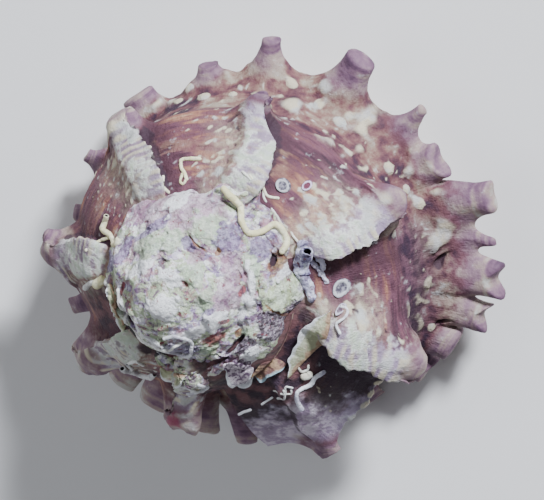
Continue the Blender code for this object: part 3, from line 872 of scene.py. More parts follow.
def crust_form(r, angle):
    """Height of the crust above the growth centre, and its marks.

    It is as high as the plain turns, which are softened in places, blended into a worn dome round
    the apex, plus a lumpy thickness. Patches raise it, sink it or break it into ledges.
    """
    flat = place(r, -SPIRE_SLOPE * r, angle)
    share = r / crust_edge(angle)
    inside = 1.0 - smooth(0.85, 0.95, share)
    wave = 0.0010 * crumbs(flat, 0.0042, 3, 31) * smooth(0.003, 0.006, r) * inside
    plain = spire_height(r + wave, angle)
    soft = plain + spire_height(r + wave - SOFT_STEP, angle) + spire_height(r + wave + SOFT_STEP, angle)
    soft = soft / 3.0
    plain = plain + (soft - plain) * smooth(-0.45, 0.0, lumps(flat, 0.0055, 32)) * inside
    dome = -APEX_DEPTH - DOME_CURVE * r ** 2 + KNOB_HEIGHT * np.exp(-(r / KNOB_RADIUS) ** 4)
    worn = smooth(*WORN_SPAN, r)
    base = dome * (1.0 - worn) + plain * worn
    mask = {kind: patch_dome(flat, kind) for kind in KINDS}
    broad = crumbs(flat, 0.0042, 2, 33)
    medium = crumbs(flat, 0.0019, 2, 34)
    ridges = 1.0 - np.abs(lumps(flat, 0.0013, 38)) * 2.0
    flakes = smooth(-0.06, 0.06, lumps(flat, 0.0026, 35)) + smooth(-0.05, 0.05, lumps(flat, 0.0016, 36))
    grain = crumbs(flat, 0.0008, 3, 37)
    holes = smooth(0.55, 0.80, lumps(flat, 0.0011, 40)) * smooth(-0.2, 0.3, lumps(flat, 0.0050, 42))
    thick = CRUST_THICKNESS + 0.00070 * broad + 0.00050 * medium + 0.00007 * flakes
    thick = thick + 0.00008 * ridges + 0.00009 * grain * (1.0 + 2.6 * mask["speckled"]) - 0.0004 * holes
    thick = thick * (0.30 + 0.70 * smooth(0.001, 0.006, r))
    thick = thick + 0.0006 * mask["mint"] + 0.0014 * mask["green"] ** 0.5 + 0.0006 * mask["chalk"]
    thick = thick + 0.0004 * mask["speckled"] - 0.0016 * mask["pit"] ** 0.7 - 0.0003 * mask["stain"]
    thick = thick - 0.0004 * mask["rust"]
    thick = thick + 0.00022 * np.cos(21.0 * mask["coil"]) * smooth(0.0, 0.2, mask["coil"])
    stairs = share * LEDGE_STEPS + 0.8 * crumbs(flat, 0.0035, 3, 39)
    thick = thick + LEDGE_HEIGHT * mask["ledge"] ** 0.5 * ((stairs % 1.0) ** 0.5 - 0.7)
    rim = smooth(0.955, 1.0, share)
    height = base + thick * (1.0 - rim) - 0.0004 * rim
    marks = [mask[kind] for kind in KINDS[:-1]]
    return height, marks


def make_crust():
    """The lime crust: a sheet over the spire, closed by a cone to a point inside the shell."""
    angle = np.linspace(FIRST_ANGLE, LIP_ANGLE, CRUST_COLUMNS + 1)[:-1]
    share = np.linspace(0.0, 1.0, CRUST_RINGS + 1)[1:] ** 0.9
    angle, share = np.meshgrid(angle, share)
    r = share * crust_edge(angle)
    height, masks = crust_form(r, angle)
    points = place(r, height, angle)
    surface = Surface(CRUST_MARKS)
    closed = np.concatenate([points[:, -1:], points, points[:, :1]], axis=1)
    normal = normals(closed)
    # Hollow: how deep the crust lies among its neighbours; the finish darkens it as grime and painted
    # shade.
    hollow = np.maximum(smooth(0.00006, 0.00026, hollowness(closed, normal, 3)),
                        smooth(0.00024, 0.00090, hollowness(closed, normal, 10)))[:, 1:-1]
    marks = np.stack(masks + [hollow], axis=-1)
    top = (0.0, 0.0, height[0].mean())
    surface.sleeve(points, marks, top, (0.0, 0.0, -CRUST_ROOT), marks[0, :1], None)
    return surface.build("spire_crust", lie_down(surface.points))


# Worm tubes: radius in millimetres, tint from cream to grey, how both ends are, and a path of
# growth angles and distances from the axis in millimetres
CREAM_ROUGHNESS = 0.14
CRUSTY_ROUGHNESS = 0.55
CREAM_TUBES = (
    (0.50, 0.0, "shut",
     ((152.5, 16.9), (158, 16.3), (163.5, 15.7), (170, 14.8), (179, 14.1), (183, 15.0),
      (184, 16.7), (188, 17.2), (195.5, 16.8), (198.5, 15.9))),
    (0.27, 0.0, "shut",
     ((133, 18.7), (128.5, 18.6), (124, 18.4), (124.5, 17.4), (126.6, 16.7), (128.3, 15.9))),
    (0.20, 0.0, "shut", ((128.3, 16.1), (127, 15.3), (124.8, 15.6), (125.5, 16.6))),
    (0.42, 0.1, "open",
     ((75.2, 16.2), (70.6, 16.0), (66.4, 15.6), (67.8, 14.2), (67.1, 13.1), (72.5, 11.8),
      (79.0, 12.0))),
    (0.26, 0.1, "shut", ((55, 16.4), (59, 15.6), (65, 14.2))),
    (0.20, 0.2, "shut",
     ((160, 20.3), (162, 20.0), (164.5, 19.0), (167, 18.5), (171, 18.2), (175, 18.9))),
    (0.17, 0.6, "shut",
     ((156.4, 20.2), (162.5, 19.7), (170, 17.7), (179.5, 17.3), (189.6, 17.6), (198, 18.4))),
    (0.26, 0.2, "shut", ((115, 16.5), (115.5, 15.3), (118, 14.1))),
    (0.85, 0.0, "shut", ((35.5, 14.4), (38.5, 13.4))),
    (0.45, 0.7, "shut", ((31, 17.6), (35, 15.8), (38, 13.2), (42, 11.0))),
    (0.27, 0.8, "open", ((-12.5, 18.9), (-15.5, 18.6), (-16.7, 17.7), (-14, 17.1))),
    (0.52, 0.8, "open", ((-13, 18.4), (-16, 19.3), (-20, 19.6), (-24, 19.0), (-27, 17.3))),
    (0.26, 0.7, "shut", ((-14.7, 16.2), (-18.1, 14.8), (-21.3, 15.6))),
    (0.27, 0.7, "shut",
     ((44, 8.1), (28, 7.9), (14, 8.8), (3, 10.0), (-7, 9.9), (-19, 8.7), (-30, 8.3), (-42, 8.1),
      (-54, 7.9), (-62, 7.2), (-75, 6.9))),
    (0.30, 0.9, "shut",
     ((-42, 8.2), (-50, 9.6), (-61, 10.1), (-74, 8.4), (-81, 6.8), (-73, 5.5), (-52, 5.7))),
    (0.26, 0.9, "shut", ((-57.5, 15.6), (-57, 17.2), (-53, 17.6), (-48, 17.9))),
    (0.22, 0.8, "shut", ((-46, 16.2), (-50, 16.6), (-54, 17.8), (-56, 16.4))),
    (0.21, 0.9, "shut", ((-49, 16.0), (-51, 17.2), (-48, 18.4))),
    (0.24, 0.9, "shut", ((299.6, 23.8), (297, 23.4), (294, 23.2))),
    (0.18, 0.9, "shut", ((288, 22.7), (285, 22.4), (282, 22.2))),
    (0.20, 0.8, "shut", ((280.3, 22.7), (277.6, 23.2), (275.4, 22.8), (273.8, 22.0))),
    (0.16, 0.8, "shut", ((277, 21.9), (274.5, 22.5), (272, 21.7), (270.4, 22.4))),
    (0.15, 0.7, "shut", ((279, 21.3), (276, 22.1), (273, 23.0), (271.5, 22.6))),
    (0.34, 1.0, "shut",
     ((259, 23.9), (263, 23.5), (266, 23.8), (270.4, 23.4), (273.5, 24.4), (275.4, 26.0))),
    (0.20, 0.6, "shut", ((262.6, 20.8), (263.2, 21.5), (261.2, 21.9), (259.4, 21.6))),
    (0.55, 0.5, "shut", ((264.4, 22.2), (263.2, 22.6), (262.4, 22.6))),
    (0.24, 0.9, "open", ((228, 22.8), (231, 24.0), (234, 23.2), (237, 24.2))),
)
CRUSTY_TUBES = (
    (1.00, 0.0, "open", ((202, 20.3), (204, 19.2), (207, 18.2), (213, 17.6))),
    (0.70, 0.3, "shut", ((199, 19.2), (205, 17.4), (211, 16.9), (218, 17.9), (226, 18.6))),
    (0.45, 1.0, "shut", ((206, 19.8), (211, 20.2), (215, 19.6))),
    (0.38, 1.0, "shut", ((209, 18.8), (214, 19.8), (219, 20.4))),
)
# Rings where limpets and barnacles sat: growth angle, distance, half sizes across and along, tint
SCARS = (
    (172.3, 20.4, 0.90, 1.35, 0.0),
    (178.8, 22.5, 0.80, 0.80, 1.0),
    (222.0, 22.3, 1.20, 1.50, 0.0),
    (229.0, 23.0, 0.60, 0.80, 0.3),
)
# Flaps: paths of the raised and the buried edge, how far the raised one stands up in millimetres,
# and tint: greenish, then speckled grey, then tan
FLAPS = (
    (((229, 21.3), (234, 19.8), (243, 18.8), (252, 18.6), (260, 19.0), (267, 20.4)),
     ((230, 22.2), (236, 22.6), (243, 22.4), (251, 21.2), (260, 20.9), (268, 21.2)), 1.6, 0.0),
    (((282, 13.6), (288, 15.8), (289.5, 18.2), (284, 18.6), (277, 17.4)),
     ((278, 13.0), (275, 13.4), (272.5, 14.2), (271, 15.0), (270.5, 15.8)), 1.5, 0.5),
    (((281, 18.4), (279, 19.3), (274, 19.0), (270, 19.1), (266, 19.9)),
     ((276, 16.4), (273, 16.6), (268, 16.6), (264, 17.2), (262, 18.2)), 1.2, 1.0),
    (((44, 11.2), (36, 10.8), (26, 11.0), (16, 11.6), (6, 12.8), (1, 13.6)),
     ((44, 9.6), (36, 9.2), (26, 9.4), (16, 9.9), (6, 10.9), (1, 11.8)), 0.9, 0.0),
    (((-31, 15.2), (-33.5, 16.9), (-41, 16.9), (-47, 16.0), (-54, 14.6)),
     ((-33, 13.6), (-37, 14.0), (-42, 13.8), (-47, 13.4), (-53, 13.2)), 1.3, 0.2),
)
# Inside: where an open tube's end goes down, painted near-black as its shade.
TUBE_MARKS = ("tint", "inside", "along")
SCAR_MARKS = ("tint", "rim")
FLAP_MARKS = ("tint", "across")
FLAP_ROWS = 110
SCAR_RIM = 0.00026         # height of a scar's rim
SCAR_LIFT = 0.00022        # how far all of a scar stands up
SCAR_SINK = 0.0009         # how far its outer edge goes down again
SCAR_ROOT = 0.002          # depth of the point that closes it below


def ground(points):
    """Height of the shell under points of its own frame: the crust, or the ramp beyond it."""
    r = np.hypot(points[..., 0], points[..., 1])
    angle = np.degrees(np.arctan2(-points[..., 1], points[..., 0])) - FIRST_ANGLE
    angle = angle % 360.0 + FIRST_ANGLE
    edge = crust_edge(angle)
    crust, _ = crust_form(np.minimum(r, edge), angle)
    plain = spire_height(r, angle)
    beyond = smooth(0.0, 0.0006, r - edge)
    outside = np.maximum(plain, np.where(beyond < 1.0, crust - 0.002, plain))
    return crust * (1.0 - beyond) + outside * beyond


def curve(path, spacing):
    """A smooth line through growth angles and distances, cut into even steps, and their lengths.

    Cubic pieces go through each point with the slope of its two neighbours.
    """
    angle, distance = np.array(path, dtype=float).T
    points = place(0.001 * distance, 0.0 * distance, angle)
    ends = np.concatenate([2.0 * points[:1] - points[1:2], points, 2.0 * points[-1:] - points[-2:-1]])
    share = np.linspace(0.0, len(points) - 1.0, 40 * len(points))
    first = np.minimum(share.astype(int), len(points) - 2)
    t = (share - first)[:, None]
    a, b, c, d = ends[first], ends[first + 1], ends[first + 2], ends[first + 3]
    fine = b + 0.5 * t * (c - a + t * (2.0 * a - 5.0 * b + 4.0 * c - d + t * (3.0 * (b - c) + d - a)))
    steps = np.linalg.norm(np.diff(fine, axis=0), axis=1)
    length = np.concatenate([[0.0], np.cumsum(steps)])
    even = np.linspace(0.0, length[-1], max(int(length[-1] / spacing), 6) + 1)
    return along_line(even, length, fine), even


def along_line(at, known, line):
    """Points at some lengths of a line whose own points lie at known lengths."""
    return np.stack([np.interp(at, known, line[:, axis]) for axis in range(3)], axis=-1)


def averaged(values, reach):
    """Running mean over that many steps to both sides."""
    padded = np.concatenate([np.repeat(values[:1], reach), values, np.repeat(values[-1:], reach)])
    return np.convolve(padded, np.ones(2 * reach + 1) / (2 * reach + 1), "valid")


def add_tube(surface, radius, tint, end, path, rough, sides=20):
    """A tube on the shell: circles of an uneven radius along a curve, half sunk into the ground.

    A shut end is half a ball. An open end turns in over a round lip and goes down into the tube.
    """
    radius = 0.001 * radius
    line, length = curve(path, 0.3 * radius)
    sunk = 0.45 + 0.25 * lumps(line, 0.0025, 83)
    line[:, 2] = averaged(ground(line), 5) + sunk * radius
    if end == "open":
        line[:, 2] = line[:, 2] + 2.0 * radius * np.exp(-(length / (1.6 * radius)) ** 2)
        advance = np.array([0.0, 0.15, 0.10, -0.10, -1.0, -1.8])
        size = np.array([1.0, 0.92, 0.72, 0.60, 0.50, 0.30])
        inside = np.array([0.0, 0.0, 0.35, 1.0, 1.0, 1.0])
    else:
        turns = np.linspace(0.0, 0.5 * np.pi, 6)
        advance = np.sin(turns)
        size = np.cos(turns).clip(0.12)
        inside = 0.0 * turns
    at = np.concatenate([-advance[::-1] * radius, length[1:-1], length[-1] + advance * radius])
    scale = np.concatenate([size[::-1], np.ones(len(length) - 2), size])
    # The inside of an open end is painted near-black by the finish, as the shade down the tube.
    dark = np.concatenate([inside[::-1], np.zeros(len(length) - 2), inside])
    slope = np.gradient(line, length, axis=0)
    slope = slope / np.linalg.norm(slope, axis=1, keepdims=True)
    inner = at.clip(0.0, length[-1])
    centre = along_line(inner, length, line)
    forward = along_line(inner, length, slope)
    centre = centre + forward * (at - inner)[:, None]
    side = np.cross(forward, (0.0, 0.0, 1.0))
    side = side / np.linalg.norm(side, axis=1, keepdims=True)
    top = np.cross(side, forward)
    turn = np.linspace(0.0, 2.0 * np.pi, sides + 1)[:-1]
    ring = side[:, None] * np.cos(turn)[:, None] + top[:, None] * np.sin(turn)[:, None]
    outline = centre[:, None] + ring * radius
    rings = 0.03 * np.sin(at / 0.00042 * 2.0 * np.pi)
    wrinkle = 1.0 + rough * crumbs(outline, 1.6 * radius, 3, 81) + rings[:, None]
    wrinkle = wrinkle + 0.16 * lumps(outline, 0.0020, 84)
    points = centre[:, None] + ring * (radius * scale[:, None] * wrinkle)[..., None]
    marks = np.stack([part + 0.0 * wrinkle for part in (tint, dark[:, None], at[:, None])], axis=-1)
    points, marks = points[::-1], marks[::-1]
    first, last = points[0].mean(axis=0), points[-1].mean(axis=0)
    surface.sleeve(points, marks, first, last, marks[0, :1], marks[-1, :1])


def make_tubes(name, tubes, rough):
    """Worm tubes on the shell, as one piece."""
    surface = Surface(TUBE_MARKS)
    for radius, tint, end, path in tubes:
        add_tube(surface, radius, tint, end, path, rough)
    return surface.build(name, lie_down(surface.points))


def add_scar(surface, angle, distance, across, along, tint):
    """An oval ring left on the shell: a round rim between a sunken middle and the ground."""
    share = np.linspace(0.0, 1.0, 15)[1:]
    turn = np.linspace(0.0, 2.0 * np.pi, 57)[:-1]
    share, turn = np.meshgrid(share, turn, indexing="ij")
    middle = place(0.001 * distance, 0.0, angle)
    outward = place(1.0, 0.0, angle)
    beside = np.array([outward[1], -outward[0], 0.0])
    x = 0.001 * across * share * np.cos(turn)
    y = 0.001 * along * share * np.sin(turn)
    points = middle + x[..., None] * outward + y[..., None] * beside
    uneven = 1.0 + 0.35 * crumbs(points, 0.0007, 2, 91)
    rim = np.exp(-((share - 0.68) / 0.20) ** 2)
    boss = 0.45 * np.exp(-(share / 0.16) ** 2) * tint
    lift = SCAR_RIM * (rim + boss) * uneven + SCAR_LIFT - SCAR_SINK * smooth(0.86, 1.0, share)
    points[..., 2] = ground(points) + lift
    marks = np.stack([tint + 0.0 * share, rim + boss], axis=-1)
    top = middle + np.array([0.0, 0.0, ground(middle[None, :])[0] + SCAR_LIFT + 0.0001 * tint])
    bottom = top - np.array([0.0, 0.0, SCAR_ROOT])
    surface.sleeve(points, marks, top, bottom, marks[0, :1], marks[-1, :1])


def make_scars():
    """The rings where limpets and barnacles sat."""
    surface = Surface(SCAR_MARKS)
    for scar in SCARS:
        add_scar(surface, *scar)
    return surface.build("limpet_scars", lie_down(surface.points))


def add_flap(surface, raised, buried, stand, tint):
    """A leaf of old lime: a sheet between two lines, whose raised edge curls up over a hollow.

    Along each cross line the top climbs with a power of the distance from the buried edge, and
    the underside follows it at the leaf's thickness.
    """
    first, _ = curve(raised, 0.0001)
    second, _ = curve(buried, 0.0001)
    share = np.linspace(0.0, 1.0, FLAP_ROWS)
    first, second = [along_line(share, np.linspace(0, 1, len(line)), line) for line in (first, second)]
    turn = np.linspace(0.0, 2.0 * np.pi, 57)[:-1]
    across = 0.5 - 0.5 * np.cos(turn)
    thick = 0.00022 * np.sign(np.sin(turn)) * np.abs(np.sin(turn)) ** 0.5
    ends = (np.sin(np.pi * share.clip(0.004, 0.996))) ** 0.35
    middle = 0.5 * (first + second)
    half = 0.5 * (first - second) * ends[:, None]
    spot = middle[:, None] + half[:, None] * (2.0 * across - 1.0)[:, None]
    frill = 0.00045 * crumbs(spot, 0.0022, 2, 95) * across ** 2
    heading = half / np.maximum(np.linalg.norm(half, axis=1, keepdims=True), 1e-9)
    spot = spot + heading[:, None] * frill[..., None]
    rise = 0.001 * stand * (across ** 1.6) * ends[:, None] * (0.8 + 0.35 * crumbs(spot, 0.0030, 2, 97))
    rough = 0.00012 * crumbs(spot, 0.0011, 3, 99)
    under = np.where(np.sin(turn) < 0.0, -0.0010 * (1.0 - across) ** 2, 0.0)
    spot[..., 2] = ground(spot) + 0.00025 + rise + rough + thick + under
    marks = np.stack([tint + 0.0 * rise, across + 0.0 * rise], axis=-1)
    first, last = spot[0].mean(axis=0), spot[-1].mean(axis=0)
    surface.sleeve(spot, marks, first, last, marks[0, :1], marks[-1, :1])


def make_flaps():
    """Leaves of old lime along the crust's edge."""
    surface = Surface(FLAP_MARKS)
    for flap in FLAPS:
        add_flap(surface, *flap)
    return surface.build("lime_flaps", lie_down(surface.points))


class Value:
    """A shader socket in an expression: arithmetic on it adds Math nodes."""

    def __init__(self, shader, socket):
        self.shader = shader
        self.socket = socket


def arithmetic(operation, swapped=False):
    """A method that adds one Math node."""
    def method(self, other):
        values = (other, self) if swapped else (self, other)
        return self.shader.node("ShaderNodeMath", {"operation": operation}, dict(enumerate(values)))
    return method


for _name, _operation in (("add", "ADD"), ("sub", "SUBTRACT"), ("mul", "MULTIPLY")):
    setattr(Value, f"__{_name}__", arithmetic(_operation))
    setattr(Value, f"__r{_name}__", arithmetic(_operation, swapped=True))


class Shader:
    """The nodes of one material."""

    def __init__(self, name):
        self.material = bpy.data.materials.new(name)
        self.material.use_nodes = True
        self.tree = self.material.node_tree
        self.tree.nodes.clear()
        self.place = self.node("ShaderNodeTexCoord", output="Object")

    def node(self, kind, settings=None, sockets=None, output=0):
        """Add a node: its settings first, a ramp's stops among them, then its sockets."""
        made = self.tree.nodes.new(kind)
        for name, value in (settings or {}).items():
            if name == "stops":
                ramp = made.color_ramp
                while len(ramp.elements) < len(value):
                    ramp.elements.new(0.5)
                for element, (position, colour) in zip(ramp.elements, value):
                    element.position = position
                    element.color = colour
            else:
                setattr(made, name, value)
        for name, value in (sockets or {}).items():
            if isinstance(value, Value):
                self.tree.links.new(value.socket, made.inputs[name])
            else:
                made.inputs[name].default_value = value
        return Value(self, made.outputs[output]) if made.outputs else None

    def mark(self, name):
        """A float attribute of the mesh."""
        return self.node("ShaderNodeAttribute", {"attribute_name": name}, output="Fac")

    def noise(self, size, detail=3.0, roughness=0.5, distortion=0.0, at=None):
        """Noise from 0 to 1, with features of that size in metres."""
        sockets = {"Vector": at or self.place, "Scale": 1.0 / size, "Detail": detail,
                   "Roughness": roughness, "Distortion": distortion}
        return self.node("ShaderNodeTexNoise", None, sockets)

    def cells(self, size):
        """Cellular noise with cells of that size in metres."""
        return self.node("ShaderNodeTexVoronoi", None, {"Vector": self.place, "Scale": 1.0 / size})

    def step(self, value, low, high):
        """Smooth step from 0 at low to 1 at high."""
        sockets = {"Value": value, "From Min": low, "From Max": high}
        return self.node("ShaderNodeMapRange", {"interpolation_type": "SMOOTHSTEP"}, sockets)

    def mix(self, factor, first, second):
        """Blend of two colours."""
        sockets = {0: factor, 6: paint(first), 7: paint(second)}
        return self.node("ShaderNodeMix", {"data_type": "RGBA"}, sockets, 2)

    def ramp(self, value, stops):
        """Colours along a value."""
        stops = [(position, paint(colour)) for position, colour in stops]
        return self.node("ShaderNodeValToRGB", {"stops": stops}, {0: value})

    def vector(self, x, y, z=0.0):
        """A vector of three values."""
        return self.node("ShaderNodeCombineXYZ", None, {0: x, 1: y, 2: z})

    def bump(self, height, distance, strength=1.0):
        """Normal of a surface raised by height times distance, in metres."""
        sockets = {"Height": height, "Distance": distance, "Strength": strength}
        return self.node("ShaderNodeBump", None, sockets)

    def finish(self, sockets):
        """Principled surface with these sockets. Returns the material."""
        surface = self.node("ShaderNodeBsdfPrincipled", None, sockets)
        self.node("ShaderNodeOutputMaterial", None, {"Surface": surface})
        return self.material


def paint(colour):
    """A shader's colour from a triple that gives it as it looks on a screen, from 0 to 255.

    Another node's result, and a colour that already has four parts, stay as they are.
    """
    if isinstance(colour, Value) or len(colour) == 4:
        return colour
    shown = np.array(colour) / 255.0
    linear = np.where(shown <= 0.04045, shown / 12.92, ((shown + 0.055) / 1.055) ** 2.4)
    return (*linear.tolist(), 1.0)


def skin_finish(look):
    """Mauve and tan ramp, whitish ribs and beads, lavender spines, pearly mouth, with grime and painted
    shade in the hollows and painted shade in the grooves, troughs, lip and under the rib fronts.
    """
    s = Shader("weathered_shell")
    growth, v, phase, band, spine, pale, hollow, nacre = [s.mark(name) for name in SKIN_MARKS]
    fine = s.noise(0.0009, 4.0, 0.6)
    medium = s.noise(0.0026, 3.0, 0.58)
    broad = s.noise(0.0070, 2.0)
    lanes = s.noise(1.0, 3.0, 0.6, at=s.vector(growth * 0.045, v * 7.0, broad))
    threads = s.noise(1.0, 2.0, 0.5, at=s.vector(growth * 0.10, v * 34.0, 0.0))
    lane = lanes + (threads - 0.5) * 0.22 + (fine - 0.5) * 0.10
    ramp = s.ramp(lane, (
        (0.30, (58, 32, 46)),
        (0.40, (84, 48, 62)),
        (0.48, (106, 66, 80)),
        (0.56, (118, 74, 78)),
        (0.63, (154, 106, 86)),
        (0.74, (174, 142, 116)),
    ))
    sash = v + (lanes - 0.5) * 0.9
    sash = s.step(sash, 0.42, 0.50) * s.step(sash, 0.70, 0.60)
    sash = sash * s.step(growth, 40.0, 60.0) * s.step(growth, 208.0, 194.0)
    orange = s.mix(s.step(medium, 0.4, 0.6), (142, 92, 80), (184, 146, 114))
    ramp = s.mix(sash * (0.30 + s.step(growth, 144.0, 152.0) * 0.25), ramp, orange)
    middle = s.step(v, 0.50, 0.62) * s.step(v, 0.92, 0.80)
    slow = s.step(growth, 200.0, 212.0)
    aged = phase + (middle * 0.24 - 0.20) * slow
    young = s.step(phase - slow * 0.24 + (medium - 0.5) * 0.3, 0.46, 0.12)
    young = young * (1.0 - sash * s.step(growth, 200.0, 190.0) * 0.6)
    ramp = s.mix(young * 0.85, ramp, (70, 38, 50))
    old = s.step(aged + (medium - 0.5) * 0.4, 0.50, 0.95) * s.step(v, 1.0, 0.72)
    ramp = s.mix(old * 0.65, ramp, s.mix(s.step(fine, 0.4, 0.6), (152, 126, 120), (180, 164, 144)))
    wall = s.ramp(medium * 0.40 + broad * 0.30 + lanes * 0.30, (
        (0.41, (56, 34, 52)),
        (0.46, (88, 52, 62)),
        (0.50, (114, 74, 76)),
        (0.54, (134, 102, 92)),
        (0.60, (158, 144, 128)),
    ))
    valley = s.step(v, 1.02, 1.15) * s.step(v, 2.05, 1.50)
    valley = valley * s.step(growth, 200.0, 212.0) * s.step(growth, 252.0, 244.0)
    wall = s.mix(valley * 0.85, wall, s.mix(s.step(medium, 0.42, 0.6), (46, 28, 48), (98, 66, 82)))
    colour = s.mix(s.step(v, 1.08, 1.36), ramp, wall)
    late = s.step(growth + (1.0 - v) * 9.0 - band * 20.0, 247.0, 254.0)
    late = s.node("ShaderNodeMath", {"operation": "MAXIMUM"},
                  {0: late, 1: s.step(growth, 258.0, 266.0)})
    # The lip's ramp: mauve with a pale outer edge, and its inner part towards the seam painted
    # near-black as shade.
    lip_tone_and_shade = medium * 0.6 + v * 0.5 + s.step(growth, 258.0, 284.0) * 0.22
    lip_tone_and_shade = s.mix(s.step(lip_tone_and_shade, 0.70, 0.94), (44, 30, 44), (160, 148, 172))
    colour = s.mix(late * 0.85, colour, lip_tone_and_shade)
    cream = s.mix(s.step(medium, 0.42, 0.60), (202, 192, 166), (184, 184, 180))
    smudge = s.step(pale * (0.25 + medium * 1.3) + (fine - 0.5) * 0.8, 0.10, 1.00)
    colour = s.mix(smudge * (0.85 - late * 0.75 - s.step(v, 1.05, 1.3) * 0.15), colour, cream)
    shade = s.step(phase, 0.07, 0.01) * s.step(v, 1.1, 0.9)
    colour = s.mix(shade * 0.6, colour, (66, 38, 46))
    # Grooves between the flutes of a rib: a darker lavender that varies at random, painted as the shade
    # in the grooves.
    groove_shade = s.mix(s.step(medium, 0.42, 0.58), (152, 134, 154), (166, 146, 138))
    ridge = s.ramp(medium + (fine - 0.5) * 0.35, (
        (0.38, (158, 142, 160)),
        (0.46, (190, 186, 194)),
        (0.54, (226, 230, 222)),
        (0.62, (188, 198, 176)),
    ))
    rib_tint = s.mix(s.step(pale * 0.6 + medium * 1.6 + (fine - 0.5) * 0.8, 0.72, 1.22), groove_shade, ridge)
    rib_tint = s.mix(s.step(v + (medium - 0.5) * 0.5, 0.70, 1.0) * 0.5, rib_tint, (158, 138, 168))
    early = s.step(growth, 116.0, 100.0) * s.step(medium + (fine - 0.5) * 0.4, 0.60, 0.42)
    rib_tint = s.mix(early * 0.55, rib_tint,
                     s.mix(s.step(broad, 0.45, 0.55), (128, 106, 118), (142, 140, 124)))
    rib_tint = s.mix(late * 0.75, rib_tint,
                     s.mix(s.step(medium, 0.4, 0.6), (128, 106, 130), (176, 162, 182)))
    colour = s.mix(s.step(band + (medium - 0.5) * 1.6 + (fine - 0.5) * 0.5, 0.30, 0.70), colour,
                   rib_tint)
    edge = s.step(v + (medium - 0.5) * 0.5, 0.42, 0.66) * s.step(growth, 266.0, 282.0)
    colour = s.mix(edge * 0.8, colour,
                   s.mix(s.step(fine + medium, 0.85, 1.15), (150, 128, 152), (206, 192, 204)))
    under = s.mix(s.step(pale + (medium - 0.5) * 0.8, 0.10, 0.70), (176, 148, 138), (222, 216, 204))
    under = s.mix(s.step(v, 2.75, 2.95), under, (232, 228, 222))
    colour = s.mix(s.step(v, 2.06, 2.26), colour, under)
    bands = s.noise(1.0, 2.0, 0.5, at=s.vector(spine * 9.0, growth * 0.04, broad))
    foot_tint = s.mix(s.step(medium * 0.5 + broad * 0.5, 0.45, 0.58), (108, 66, 74), (154, 138, 124))
    tip_tone = bands * s.step(spine, 0.5, 0.8) * 0.35 + medium * 0.3 + broad * 0.35
    tip_tint = s.ramp(tip_tone + s.step(spine, 0.8, 0.5) * 0.175, (
        (0.40, (84, 58, 80)),
        (0.46, (116, 86, 106)),
        (0.51, (138, 112, 122)),
        (0.56, (158, 138, 130)),
        (0.62, (176, 172, 164)),
    ))
    spine_tint = s.mix(s.step(spine + (medium - 0.5) * 0.6, 0.22, 0.60), foot_tint, tip_tint)
    colour = s.mix(s.step(spine + (medium - 0.5) * 0.5, 0.12, 0.42), colour, spine_tint)
    spotted = s.step(pale, 0.3, 0.7) * s.step(spine, 0.9, 0.5) * s.step(v, 2.1, 2.0)
    colour = s.mix(spotted * (0.9 - valley * 0.7), colour, cream)
    chalk = s.step(fine * 0.4 + medium * 0.6, 0.58, 0.68)
    colour = s.mix(chalk * 0.35, colour, (206, 208, 212))
    # Grime and painted shade: the hollows and pores of the skin are darkened to a dark mauve.
    dirt_and_shade = s.step(hollow + (fine - 0.5) * 0.6, 0.40, 0.95)
    colour = s.mix(dirt_and_shade * look.dirt_and_shade, colour, (52, 32, 46))
    # Painted shade: the ramp is painted dark purple along the seam under the crust's edge, at the start
    # of the last turn, and across it between growth angles 4 and 38.
    reach = v + (medium - 0.5) * 0.3 - s.step(growth, 240.0, 270.0) * 0.20
    reach = reach + s.step(growth, 276.0, 288.0) * 0.14
    trough_shade = s.step(growth, 222.0, 238.0) * s.step(reach, 0.34, 0.16) + s.step(growth, -56.0, -62.0)
    stretch = s.step(growth, -40.0, -34.0) * s.step(growth, -12.0, -18.0)
    trough_shade = trough_shade + stretch * s.step(reach, 0.20, 0.06)
    stretch = s.step(growth, 4.0, 12.0) * s.step(growth, 38.0, 28.0)
    trough_shade = trough_shade + stretch * s.step(reach, 0.95, 0.55) * 0.9
    colour = s.mix(trough_shade * 0.9, colour, s.mix(s.step(medium, 0.4, 0.6), (46, 28, 42), (110, 72, 74)))
    crimson = s.step(growth, -45.0, -43.5) * s.step(growth, -39.5, -41.0) * s.step(v, 1.4, 1.2)
    crimson = crimson * s.step(spine + (fine - 0.5) * 0.4, 0.35, 0.55)
    colour = s.mix(crimson * s.step(spine, 0.85, 0.7) * 0.8, colour, (150, 52, 84))
    pearl = s.ramp(s.noise(0.009, 1.0, 0.5), (
        (0.30, (232, 222, 224)),
        (0.50, (222, 232, 226)),
        (0.70, (236, 228, 214)),
    ))
    colour = s.mix(nacre, colour, pearl)
    ridges = s.noise(1.0, 2.0, 0.5, at=s.vector(growth * 2.4, v * 3.0))
    grain = s.noise(0.00045, 4.0, 0.65)
    pits = s.step(s.cells(0.0007), 0.0, 0.35)
    height = ridges * 0.5 + grain * 0.7 + pits * 0.25 + fine * 0.8
    shell_normal = s.bump(height * (1.0 - nacre * 0.95) * (1.0 - spine * 0.5), look.skin_grain, 0.9)
    rough = 0.62 + fine * 0.2 - nacre * 0.42
    return s.finish({"Base Color": colour, "Roughness": rough, "Normal": shell_normal,
                     "Coat Weight": nacre * look.pearl_coat, "Specular IOR Level": 0.4})


